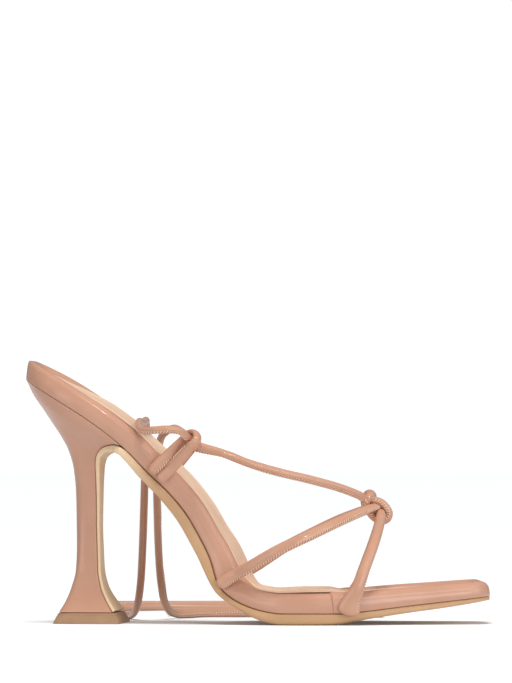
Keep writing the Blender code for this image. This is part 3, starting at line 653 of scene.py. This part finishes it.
for side, sign in sides:
    path = tiePath(side, sign)
    run = lengths(path)
    outward = carriedFrame(path, eyeSeam(sign), tieTwist(run, sign))
    body = rolledBody(path, outward, lace["wide"], lace["wide"], 90)
    body["thick"] = body["thick"] * (1 - tie["uneven"][0] * np.sin(run / tie["uneven"][1]))
    tieCord = strapPiece("tieCord_" + side, "tie_" + side, [
        (*rolledSkin(body, inOwnFrame, wrinkle=0.06), 0),
        (*whipStitches(body, inOwnFrame, start=2.0, stop=run[-1] - 1.5), 1),
    ])
    way = unit([*(path[-1] - path[-3])[:2], 0])
    tipStart = np.array([path[-1][0], path[-1][1], tie["tipWide"] / 2]) + way * tie["gap"]
    reach = np.linspace(0, tie["tipLength"] - sleeve["coreShort"], sleeve["coreRings"])
    corePath = np.array([path[-1] + way * a for a in reach])
    coreOut = outward[-1:].repeat(len(reach), axis=0)
    coreBody = rolledBody(corePath, coreOut, sleeve["coreWide"], sleeve["coreWide"], 90)
    points, faces, looks = joined([
        (*loft(inOwnFrame(sleeveRings(tipStart, way))), 0),
        (*rolledSkin(coreBody, inOwnFrame), 1),
    ])
    tipLooks, tipNode = [goldLook, strapLook], "tie_tip_" + side
    tip = meshPiece("tieSleeve_" + side, points, faces, tipLooks, tipNode, looks, sharp=35)
print("ties laid")

# Footbed: board and padding wrapped in glazed polyurethane, swollen sides and a dished top
footbed = {
    "rimEdge": 3.2, "rimBulge": 0.35, "dishPower": 8, "dishEnd": 9.0, "feather": 1.9, "featherHigh": 1.4,
    # each a row of x and a row of values: depth of the dish, softness of the feather line
    "dish": ((14, 22, 30, 142, 156), (2.4, 1.7, 1.2, 1.2, 2.6)),
    "featherShare": ((40, 60, 98, 120, 209), (0.5, 1, 1, 0.35, 0.25)),
    # soft creases where the wrap is drawn round a hollow: x, depth, half length, +1 on the inner side
    "creases": (
        (80.5, 0.16, 1.5, -1), (84.2, 0.2, 1.3, -1), (87.6, 0.15, 1.4, -1), (91.5, 0.12, 1.8, -1),
        (79.5, 0.14, 1.4, 1), (83.6, 0.2, 1.5, 1), (88.2, 0.16, 1.3, 1),
        (47.0, 0.1, 2.0, -1), (49.0, 0.12, 2.0, 1),
        (203.6, 0.14, 0.9, -1), (205.6, 0.16, 0.8, -1), (204.2, 0.15, 0.9, 1), (206.0, 0.14, 0.8, 1),
    ),
}


def rimTop(s):
    return last("rim", s) - edgeDrop(toeRun - s, ends["toeEdge"]) - edgeDrop(s, ends["seatEdge"])


def bedTop(s, v):  # height of the dished top over the feather line
    half = np.where(np.asarray(v) < 0, outline(s, "lateral"), outline(s, "medial"))
    across = v / np.maximum(half - footbed["rimEdge"], 1.0)
    inward = np.clip((np.minimum(s, toeRun - s) - footbed["rimEdge"]) / footbed["dishEnd"], 0, 1)
    dish = np.interp(last("x", s), *footbed["dish"]) * (1 - (1 - inward) ** 4)
    return rimTop(s) - dish * np.maximum(0.0, 1 - np.abs(across) ** footbed["dishPower"])


def creaseDepth(s, sign):
    return sum(
        depth * math.exp(-((s - runAt(x)) / half) ** 2)
        for x, depth, half, side in footbed["creases"] if side == sign
    )


def rimRun(s, side, sign):  # the wrapped edge in section, feather line to the top's edge: (v, h) rows
    half, top = outline(s, side), rimTop(s)
    # each size is held to a share of the section, which draws in at the two ends
    edge = min(footbed["rimEdge"], half * 0.7, top * 0.6)
    bulge = min(footbed["rimBulge"], half * 0.1)
    soft = np.interp(last("x", s), *footbed["featherShare"])
    feather = min(footbed["feather"] * soft, half * 0.3)
    high = min(footbed["featherHigh"] * soft, top * 0.2)
    turn = np.radians(np.linspace(-90, 0, 7))
    run = [(half - feather + feather * math.cos(a), high + high * math.sin(a)) for a in turn]
    for share in np.linspace(0, 1, 11)[1:-1]:
        run.append((half + bulge * math.sin(math.pi * share), high + share * (top - edge - high)))
    for a in np.radians(np.linspace(0, 90, 12)):
        run.append((half - edge + edge * math.cos(a), top - edge + edge * math.sin(a)))
    run = np.array(run)
    dent = creaseDepth(s, sign)
    run[:, 0] -= dent * np.clip(run[:, 1] / (top * 0.5), 0, 1)
    return run, edge


def bedSection(s):
    halves = []
    for side, sign in sides:
        run, edge = rimRun(s, side, sign)
        half = outline(s, side)
        under = [(run[0][0] * share, 0.0) for share in (0.33, 0.66)]
        inner = [(half - edge) * share for share in (0.94, 0.85, 0.72, 0.56, 0.38, 0.2)]
        top = [(v, bedTop(s, sign * v)) for v in inner]
        halves.append(np.array(under + run.tolist() + top) * (sign, 1))
    ring = np.vstack([[(0, 0)], halves[0], [(0, bedTop(s, 0.0))], halves[1][::-1]])
    return atStation(s, ring[:, 0], ring[:, 1])


sections = [bedSection(s) for s in bedStations]
loftPiece("wrappedFootbed", "footbed", sections, wrapLook)

# Sock lining: a thin cream sheet laid on the dished top, its cut edge turned down
sock = {
    "inset": 4.2, "edge": 0.45, "edgeFall": 0.8, "narrowest": 0.4,
    # gap under it, thickness, how far its edge is drawn in: sunk at the seat and the toe, lifting at the ball
    "rows": columns(("x", "gap", "thick", "drawn"), (
        (0, 0.04, 0.3, 2.6), (12, 0.05, 0.3, 2.4), (22, 0.12, 0.5, 0.6), (30, 0.35, 0.9, 0), (42, 0.6, 1.1, 0),
        (50, 0.4, 0.95, 0), (56, 0.35, 0.9, 0), (63, 0.1, 0.7, 0), (80, 0.08, 0.6, 0), (94, 0.15, 0.8, 0),
        (104, 0.4, 1.1, 0), (117, 0.55, 1.25, 0), (127, 0.85, 1.3, 0), (139, 0.8, 1.2, 0),
        (147, 0.1, 0.5, 1.2), (153, 0.05, 0.35, 2.0), (210, 0.04, 0.3, 2.4),
    )),
}


def sockSection(s):
    fromEdge = np.cos(np.radians(np.linspace(0, 90, 12)))
    shares = np.concatenate([-fromEdge, fromEdge[-2::-1]])
    x, rows = last("x", s), sock["rows"]
    gap, thick, drawn = (np.interp(x, rows["x"], rows[key]) for key in ("gap", "thick", "drawn"))
    halves = (outline(s, side, sock["inset"]) - drawn for side, _ in sides)
    outer, inner = (max(half, sock["narrowest"]) for half in halves)
    v = np.where(shares < 0, shares * outer, shares * inner)
    low = bedTop(s, v) + gap
    reach = np.minimum(v + outer, inner - v)
    high = low + thick - edgeDrop(reach, sock["edge"]) * sock["edgeFall"]
    ring = np.concatenate([np.stack([v, high], axis=1), np.stack([v, low], axis=1)[::-1]])
    return atStation(s, ring[:, 0], ring[:, 1])


sections = [sockSection(s) for s in stations(sock["inset"], middle=170, turns=14)]
loftPiece("sockLining", "insole_sock", sections, sockLook, sharp=50)
print("footbed and sock made")

# Heel: a moulded block wrapped in the same skin, wide at the seat, waisted and flared to the lift
heel = {
    "backShare": 0.6, "corner": 0.9, "gap": 0.06, "seatInset": 0.25, "bendRow": 4,
    # back and breast in side view, half width, how square it is, how far it follows the footbed's outline
    "columns": ("backX", "backZ", "breastX", "breastZ", "half", "power", "seat"),
}
heelRows = columns(heel["columns"], (
    (-2.4, 112.3, 44.0, 81.3, 24.6, 2.1, 1.0),
    (1.2, 105.1, 40.6, 82.1, 22.6, 2.1, 0.6),
    (5.7, 98.7, 36.8, 81.6, 19.0, 2.2, 0.25),
    (9.9, 92.5, 33.4, 79.6, 15.6, 2.3, 0),
    (13.8, 86.6, 31.4, 76.4, 12.6, 2.5, 0),
    (17.3, 80.2, 30.8, 72.0, 10.2, 2.7, 0),
    (19.9, 71.0, 30.8, 66.0, 8.2, 3.0, 0),
    (21.0, 60.0, 30.9, 57.5, 7.0, 3.3, 0),
    (21.3, 46.0, 30.9, 46.0, 6.5, 3.6, 0),
    (21.5, 34.0, 31.3, 34.0, 6.8, 4.2, 0),
    (21.2, 24.5, 31.7, 24.5, 8.0, 5.0, 0),
    (19.4, 16.5, 33.3, 16.5, 10.2, 6.0, 0),
    (17.2, 10.3, 36.3, 10.3, 14.0, 7.0, 0),
    (14.6, 5.3, 39.6, 5.3, 18.0, 8.0, 0),
))
heelRun = lengths(np.stack([
    heelRows["backX"] + heelRows["breastX"], heelRows["backZ"] + heelRows["breastZ"],
], axis=1) / 2)


def heelAt(name, run):
    return smooth(heelRun, heelRows[name], run)


def heelStations(upper, lower=90):  # seat to lift, closer together where the seat narrows
    bend = heelRun[heel["bendRow"]]
    return np.concatenate([np.linspace(0, bend, upper), np.linspace(bend, heelRun[-1], lower)[1:]])


def roundBack(power, count, depth):  # (share of the depth, share of the half width) round the back
    turn = np.linspace(0, math.pi / 2, count)
    return [(depth * (1 - math.cos(a) ** (2 / power)), math.sin(a) ** (2 / power)) for a in turn]


def heelSection(run):
    row = {name: heelAt(name, run) for name in heel["columns"]}
    depth = row["breastX"] - row["backX"]
    shape = roundBack(row["power"], 26, heel["backShare"])
    shape += [(share, 1.0) for share in np.linspace(heel["backShare"], 1, 9)[1:-1]]
    shape += [(1 - heel["corner"] / depth * (1 - math.sin(a)), 1.0) for a in np.radians((0, 30, 60, 90))]
    side = []
    for share, back in shape:
        x = row["backX"] + share * depth
        z = row["backZ"] + share * (row["breastZ"] - row["backZ"])
        seatX = heelRows["backX"][0] + share * (heelRows["breastX"][0] - heelRows["backX"][0])
        chord = heelRows["backZ"][0] + share * (heelRows["breastZ"][0] - heelRows["backZ"][0])
        s = runAt(seatX)
        crown = last("z", s) - heel["gap"] / math.cos(math.radians(last("lean", s))) - chord
        seat = min(outline(s, key) for key, _ in sides) - heel["seatInset"] if share > 0 else 0.0
        half = row["seat"] * seat + (1 - row["seat"]) * row["half"] * back
        half -= edgeDrop((1 - share) * depth, heel["corner"])
        side.append((x, half, z + row["seat"] * crown))
    side = np.array(side)
    front = [(side[-1][0], side[-1][1] * share, side[-1][2]) for share in (-0.6, -0.2, 0.2, 0.6)]
    return np.vstack([side * (1, -1, 1), front, side[:0:-1]])


sections = [heelSection(run) for run in heelStations(44)]
loftPiece("wrappedHeel", "heel", sections, wrapLook, sharp=48)

# Lift: a cast block under the heel, a fine step near its top and worn-in edges
lift = {
    "top": (14.3, 41.0, 18.4), "foot": (11.8, 43.6, 21.4), "high": 5.0, "power": 8.0, "corner": 0.5,
    "steps": (  # height, how far in
        (0, 0.6), (0.12, 0.22), (0.45, 0), (3.7, 0), (3.8, 0.1),
        (4.0, 0.1), (4.1, 0), (4.7, 0), (4.92, 0.16), (5.0, 0.5),
    ),
}


def liftSection(z, inset):
    share = z / lift["high"]
    back, front, half = (foot + share * (top - foot) for top, foot in zip(lift["top"], lift["foot"]))
    back, front, half = back + inset, front - inset, half - inset
    side = [(back + a * (front - back), half * b, z) for a, b in roundBack(lift["power"], 30, 1.0)]
    side[-1] = (front, half - lift["corner"], z)
    side.insert(-1, (front - lift["corner"], half, z))
    side = np.array(side)
    return np.vstack([side * (1, -1, 1), side[:0:-1]])


sections = [liftSection(z, inset) for z, inset in lift["steps"]]
loftPiece("castLift", "heel_lift", sections, liftLook, sharp=38)

# Outsole: one resin sheet from the toe to the waist, then down the heel's breast
outsole = {
    "inset": 0.25, "gap": 0.2, "flapThick": 1.3, "breastX": 46.0, "topEdge": (0.3, 0.25), "twistFade": 8,
    "edge": ((95, 112, 150, 175), (0.7, 2.3, 2.2, 0.8)), "edgeShare": 0.45,  # x and the lower edge's radius
}


def solePath():  # toe to waist under the footbed, then down the heel's breast
    path = []
    for s in np.unique(np.minimum(bedStations, toeRun - outsole["inset"]))[::-1]:
        if last("x", s) > outsole["breastX"]:
            x, z, lean, thick, twist = (last(key, s) for key in ("x", "z", "lean", "sole", "twist"))
            halves = [outline(s, side, outsole["inset"]) for side, _ in sides]
            path.append((x, z, math.radians(lean), thick, *halves, twist))
    runs = heelStations(36)
    breast = np.stack([heelAt("breastX", runs), heelAt("breastZ", runs)], axis=1)
    way = ways(breast)
    waist = runAt(outsole["breastX"])
    for i, run in enumerate(runs):
        fade = i / (len(runs) - 1)
        thick = outsole["flapThick"] + (last("sole", waist) - outsole["flapThick"]) * (1 - fade) ** 3
        half = heelAt("half", run) - outsole["inset"] * (1 - fade)
        twist = last("twist", waist) * max(0.0, 1 - fade * outsole["twistFade"])
        path.append((*breast[i], math.atan2(way[i][1], -way[i][0]), thick, half, half, twist))
    return path


def soleRing(x, z, lean, thick, lateral, medial, twist):
    edge = min(np.interp(x, *outsole["edge"]), thick * outsole["edgeShare"])
    topIn, topDown = outsole["topEdge"]
    half = [(lateral - topIn, 0.0), (lateral, -topDown)]
    for a in np.radians(np.linspace(0, 90, 7)):
        half.append((lateral - edge + edge * math.cos(a), -thick + edge - edge * math.sin(a)))
    half += [(lateral * share, -thick) for share in (0.75, 0.4)]
    flatEnd = lateral - edge - 1e-6
    other = [(v * medial / lateral if v < flatEnd else v + medial - lateral, h) for v, h in half]
    section = np.array([(-v, h) for v, h in half] + [(0, -thick)] + other[::-1] + [(0, 0)])
    rise = section[:, 1] - outsole["gap"] + section[:, 0] * math.tan(math.radians(twist))
    return np.stack([x + rise * math.sin(lean), section[:, 0], z + rise * math.cos(lean)], axis=1)


sections = [soleRing(*row) for row in solePath()]
loftPiece("resinOutsole", "outsole", sections, soleLook, sharp=50)
print("heel, lift and outsole made")

# Vamp straps, sole to crown in side view: wrap is the share of the foot's half width there
strap = {
    "columns": ("x", "z", "wrap", "wide", "thick"), "gap": 0.55, "step": 0.45,
    "rear": {
        "medial": 3.0, "endWide": 2.0, "endThick": 1.6,
        "seam": ((0, 26), (0.12, 24), (0.3, 18), (0.5, 6), (0.7, 18), (0.88, 24), (1, 26)),
        "rows": (
            (88.0, 17.5, 1.0, 5.6, 3.4), (90.5, 19.8, 1.0, 5.5, 3.6), (95.2, 22.9, 1.0, 5.3, 3.9),
            (101.1, 26.2, 0.98, 5.3, 4.1), (114.8, 34.5, 0.93, 5.2, 4.1), (128.5, 41.3, 0.86, 5.2, 4.1),
            (142.3, 47.7, 0.62, 5.2, 4.1), (154.1, 52.2, 0.26, 5.0, 4.0), (158.9, 53.5, 0, 4.6, 3.8),
        ),
    },
    "front": {
        "medial": 4.6, "endWide": 3.0, "endThick": 1.6,
        "seam": ((0, 20), (0.08, 18), (0.2, -30), (0.5, -60), (0.8, -30), (0.92, 18), (1, 20)),
        "rows": (
            (143.9, 4.6, 1.0, 10.2, 2.6), (145.0, 8.6, 1.0, 9.0, 3.0), (146.6, 12.8, 1.0, 7.2, 3.4),
            (148.7, 17.6, 1.0, 5.4, 3.9), (151.4, 25.3, 0.97, 4.8, 3.9), (155.1, 34.5, 0.86, 4.7, 3.9),
            (158.7, 43.6, 0.56, 4.6, 3.9), (160.8, 49.4, 0.22, 4.5, 3.8), (160.9, 51.3, 0, 4.4, 3.6),
        ),
    },
}


def rimReach(x, z, sign, flat=1.0):  # half width of the swollen edge nearest to a point in side view
    lean = np.radians(last("lean", fineRun))
    middle = last("rim", fineRun) / 2
    ahead = last("x", fineRun) + middle * np.sin(lean) - x
    above = last("z", fineRun) + middle * np.cos(lean) - z
    nearest = fineRun[np.argmin(np.hypot(ahead, flat * above))]
    return outline(nearest, "lateral" if sign < 0 else "medial") + footbed["rimBulge"]


def strapBody(shape):
    table = columns(strap["columns"], shape["rows"])
    points, sizes = [], []
    for sign in (-1, 1):
        side = []
        for x, z, wrap, wide, thick in zip(*(table[key] for key in strap["columns"])):
            x += shape["medial"] * wrap if sign > 0 else 0
            # height counts in full, then by half: this keeps the way even past the bend of the shank
            rim = max(rimReach(x, z, sign, flat) for flat in (1.0, 0.5))
            reach = rim + strap["gap"] + thick / 2
            side.append(((x, sign * wrap * reach, z), (wide, thick, sign * wrap)))
        if sign > 0:
            side = side[-2::-1]
        points += [point for point, _ in side]
        sizes += [size for _, size in side]
    path = curveThrough(points, strap["step"])
    run = lengths(path)
    wide, thick, wrap = carried(points, sizes, run).T
    outward = np.stack([0 * wrap, wrap, np.sqrt(np.maximum(0.0, 1 - wrap * wrap))], axis=1)
    turn = np.interp(run / run[-1], *np.array(shape["seam"], float).T)
    wide = wide * roundedEnd(run, shape["endWide"])
    thick = thick * roundedEnd(run, shape["endThick"])
    return rolledBody(path, outward, wide, thick, turn)


# The front strap's turned tail, a flat tab over the rim beside its foot: x at the rim's foot and top
tab = {
    "back": (138.2, 136.4), "front": (140.4, 146.2), "thick": 0.7, "low": 0.04, "ease": 1.4, "sunk": 0.15,
    "edge": (0.35, 0.8, 1.0), "rows": 26, "columns": 14, "nudge": 0.02,
}


def tabSkin(side, sign, shift):
    outer, inner = [], []
    for i, t in enumerate(np.linspace(0, 1, tab["rows"])):
        back, front = (a + t ** tab["ease"] * (b - a) + shift for a, b in (tab["back"], tab["front"]))
        at = tab["low"] + t * (1 - tab["low"])
        for j, x in enumerate(np.linspace(back, front, tab["columns"])):
            s = runAt(x)
            run, _ = rimRun(s, side, sign)
            where = lengths(run) / lengths(run)[-1]
            v, h = sampled(where, run, at)
            dv, dh = sampled(where, run, min(at + tab["nudge"], 1)) - sampled(where, run, at - tab["nudge"])
            outV, outH = unit([dh, -dv])
            fromEdge = min(j, tab["columns"] - 1 - j, i, tab["rows"] - 1 - i, len(tab["edge"]) - 1)
            proud = tab["thick"] * tab["edge"][fromEdge]
            outer.append(atStation(s, sign * (v + outV * proud), h + outH * proud))
            inner.append(atStation(s, sign * (v - outV * tab["sunk"]), h - outH * tab["sunk"]))
    points = placed(np.array(outer + inner))
    grid = np.arange(len(outer)).reshape(tab["rows"], tab["columns"])
    quads = np.stack([grid[:-1, :-1], grid[:-1, 1:], grid[1:, 1:], grid[1:, :-1]], axis=-1).reshape(-1, 4)
    border = np.concatenate([grid[0], grid[1:, -1], grid[-1, -2::-1], grid[-2:0:-1, 0]])
    ahead = np.roll(border, -1)
    rim = np.stack([ahead, border, border + len(outer), ahead + len(outer)], axis=-1)
    faces = np.vstack([quads, quads[:, ::-1] + len(outer), rim]).tolist()
    return points, outwardFaces(points, faces)


vampParts = []
for shape in (strap["rear"], strap["front"]):
    body = strapBody(shape)
    vampParts.append((*rolledSkin(body, placed, size=0.95, wrinkle=0.1), 0))
    vampParts.append((*whipStitches(body, placed, start=3.0, stop=body["run"][-1] - 2.5, size=0.85), 1))
for (side, sign), shift in zip(sides, (0.0, strap["front"]["medial"])):
    vampParts.append((*tabSkin(side, sign, shift), 0))
strapPiece("vampStraps", "vamp_straps", vampParts)
print("vamp straps made")

# The hitch: each end comes in under the bight, over the straps, round and back below them, up into the bight
hitchHalf = (  # along the hitch, out from it, across, seam facing out, seam facing across
    (-7.2, -1.7, 2.1, 0.2, 1.0), (-4.4, 0.9, 2.0, 0.2, 1.0), (-1.6, 2.5, 2.0, 0.0, 1.0),
    (1.8, 2.8, 2.0, -0.3, 1.0), (4.7, 1.9, 2.0, -0.5, 1.0), (6.0, -0.3, 2.0, -0.6, 1.0),
    (5.1, -2.7, 2.0, -0.5, 1.0), (2.2, -4.1, 2.1, 0.0, 1.0), (-1.8, -4.2, 2.4, 0.3, 1.0),
    (-4.6, -3.7, 3.0, 0.3, 1.0), (-6.6, -1.9, 3.5, 0.2, 1.0), (-7.1, 0.2, 2.8, -0.4, 0.7),
)
bight = (-6.9, 0.9, 0.0, -1.0, 0.0)


def hitchTurn(along, out):  # the hitch's own plane to the side view
    ax, az = lace["hitchAlong"]
    return ax * along - az * out, az * along + ax * out


def hitchRow(row, sign):  # a point of the hitch, and the way that the seam faces there
    along, out, v, faceOut, faceAcross = row
    x, z = hitchTurn(along, out)
    seamX, seamZ = hitchTurn(*unit(np.array([along, out]) + 1e-6) * faceOut)
    point = np.array([lace["hitch"][0] + x, sign * v, lace["hitch"][1] + z])
    return point, np.array([seamX, sign * faceAcross, seamZ])


def barRows(sign):  # hitch to eye: points, and the way that the seam faces
    drop = 0 if sign < 0 else lace["eyes"][-1][2] - lace["eyes"][1][2]
    startX, eyeX = lace["barStart"], lace["eyes"][-1][0]
    rows = []
    for x, v, z in lace["bar"]:
        facing = np.array([0.2, sign * np.interp(x, *lace["barSeam"]), -1.0])
        rows.append((np.array([x, sign * v, z - drop * (startX - x) / (startX - eyeX)]), facing))
    return rows + [(eyePoint(sign, out), eyeSeam(sign)) for out in (*lace["into"], lace["join"])]


laceRows = barRows(-1)[::-1]
laceRows += [hitchRow(row, -1) for row in hitchHalf] + [hitchRow(bight, 1)]
laceRows += [hitchRow(row, 1) for row in hitchHalf[::-1]]
laceRows += barRows(1)
lacePoints, laceFacing = (np.array(column) for column in zip(*laceRows))
lacePath = curveThrough(lacePoints, lace["step"])
laceRun = lengths(lacePath)
swell = np.exp(-((laceRun - laceRun[-1] / 2) / lace["bightRun"]) ** 2)  # the bight is fuller
laceWide, laceThick = (lace["wide"] + more * swell for more in lace["bightSwell"])
laceBody = rolledBody(lacePath, unit(carried(lacePoints, laceFacing, laceRun)), laceWide, laceThick, 90)
strapPiece("instepLace", "instep_lace", [
    (*rolledSkin(laceBody, placed, wrinkle=0.2), 0),
    (*whipStitches(laceBody, placed, start=1.0, stop=laceRun[-1] - 1.0), 1),
])

# Side loops: a narrow rolled strap folded over the lace, both ends stopping beside the footbed's edge
sideLoop = {
    "wide": 5.0, "thick": 3.0, "up": (0.70, 0.714), "gap": 0.6, "apart": 0.3, "clear": 0.3, "step": 0.4,
    "endWide": 1.9, "endThick": 1.5, "bases": {-1: (59.4, 67.4), 1: (58.0, 68.8)}, "inRim": 3.0,
    "strand": (0, 0.16, 0.34), "fold": range(-20, 201, 20),
    "seam": ((0, 0.36, 0.64, 1), (196, 190, 334, 328)), "sewn": (0.36, 0.66),  # it shows on the rear strand
}


def loopBody(sign):
    up = np.array([sideLoop["up"][0], 0, sideLoop["up"][1]])
    fore = np.array([sideLoop["up"][1], 0, -sideLoop["up"][0]])
    eye, axis = eyePoint(sign, 0), eyeAxis(sign)
    fold = lace["wide"] / 2 + sideLoop["clear"] + sideLoop["thick"] / 2
    top = unit(up - axis * np.dot(up, axis))
    ahead = np.cross(axis, top) * sign
    x, z = sideLoop["bases"][sign]
    rim = rimReach(x + sideLoop["inRim"], z + sideLoop["inRim"], sign)
    base = np.array([x, sign * (rim + sideLoop["gap"] + sideLoop["thick"] / 2), z])
    side = np.array([0, sign, 0.0])
    apart = fore * (sideLoop["wide"] + sideLoop["apart"]) / 2
    rise = np.linalg.norm(eye - base)
    strand = [base + up * share * rise for share in sideLoop["strand"]]
    radials = [ahead * math.cos(a) + top * math.sin(a) for a in np.radians(sideLoop["fold"])]
    points = [point + apart for point in strand] + [eye + radial * fold for radial in radials]
    points += [point - apart for point in strand[::-1]]
    outward = [side] * len(strand) + radials + [-side] * len(strand)
    path = curveThrough(points, sideLoop["step"])
    run = lengths(path)
    turn = np.interp(run / run[-1], *sideLoop["seam"])
    turn = turn if sign < 0 else 180 - turn
    wide = sideLoop["wide"] * roundedEnd(run, sideLoop["endWide"])
    thick = sideLoop["thick"] * roundedEnd(run, sideLoop["endThick"])
    return rolledBody(path, carried(points, outward, run), wide, thick, turn)


for side, sign in sides:
    body = loopBody(sign)
    length = body["run"][-1]
    foreEnd, rearStart = (length * share for share in sideLoop["sewn"])
    strapPiece("sideLoop_" + side, "side_loop_" + side, [
        (*rolledSkin(body, placed, wrinkle=0.15), 0),
        (*whipStitches(body, placed, start=3.0, stop=foreEnd), 1),
        (*whipStitches(body, placed, start=rearStart, stop=length - 2.0), 1),
    ])
print("lace and side loops made")

# Floor and light: a flat white studio floor under soft daylight
studio = {"half": 12, "paper": ("#DCDCDC", "#FBFDFF"), "glow": 0.04, "sky": (0.27, 1.1)}  # as light, as seen
corners = [(studio["half"] * x, studio["half"] * y, 0) for x, y in ((-1, -1), (1, -1), (1, 1), (-1, 1))]
floorMesh = bpy.data.meshes.new("studioFloor")
floorMesh.from_pydata(corners, [], [(0, 1, 2, 3)])
floorLook, floorTree, floorShader = newMaterial("mattWhitePaper", {
    "Roughness": 1.0, "Specular IOR Level": 0.0,
    "Emission Color": (1, 1, 1, 1), "Emission Strength": studio["glow"],
})
# paper white to the camera, with less of its light thrown back up
seen = addNode(floorTree, "LightPath").outputs["Is Camera Ray"]
addNode(
    floorTree, "MixRGB", dict(zip(("Color1", "Color2"), map(toLinear, studio["paper"]))),
    {"Fac": seen}, {"Color": floorShader["Base Color"]},
)
floorMesh.materials.append(floorLook)
floor = bpy.data.objects.new("studioFloor", floorMesh)
scene.collection.objects.link(floor)

world = bpy.data.worlds.new("whiteStudio")
scene.world = world
world.use_nodes = True
sky = world.node_tree.nodes["Background"].inputs
sky["Color"].default_value = (1, 1, 1, 1)
# white to the camera, dimmer as a light
seen = addNode(world.node_tree, "LightPath").outputs["Is Camera Ray"]
addNode(
    world.node_tree, "MapRange", {"To Min": studio["sky"][0], "To Max": studio["sky"][1]},
    {"Value": seen}, {"Result": sky["Strength"]},
)

lamps = (  # name, kind, place, aimed at, size, strength
    ("overheadSun", "SUN", (-0.2, -0.4, 3.0), (0, 0, 0), 22, 2.25),
    ("leftSoftbox", "AREA", (-1.2, -1.9, 0.3), (0, 0, 0.05), 1.1, 6),
    ("frontSoftbox", "AREA", (1.0, -2.0, 0.25), (0, 0, 0.05), 1.0, 11),
    ("rightSoftbox", "AREA", (1.9, -1.0, 0.7), (0, 0, 0.05), 1.8, 13),
    ("stripLight", "AREA", (0.5, -1.6, 1.5), (0.05, 0, 0.03), 0.16, 4.5),
)
for name, kind, place, aim, size, strength in lamps:
    lamp = bpy.data.lights.new(name, kind)
    lamp.energy = strength
    if kind == "SUN":
        lamp.angle = math.radians(size)
    else:
        lamp.size = size
    holder = bpy.data.objects.new(name, lamp)
    holder.location = place
    holder.visible_glossy = kind != "SUN"
    x, y, z = np.array(aim, float) - np.array(place, float)
    holder.rotation_euler = (math.atan2(math.hypot(x, y), -z), 0, math.atan2(y, x) - math.pi / 2)
    scene.collection.objects.link(holder)
print("floor and lights ready")
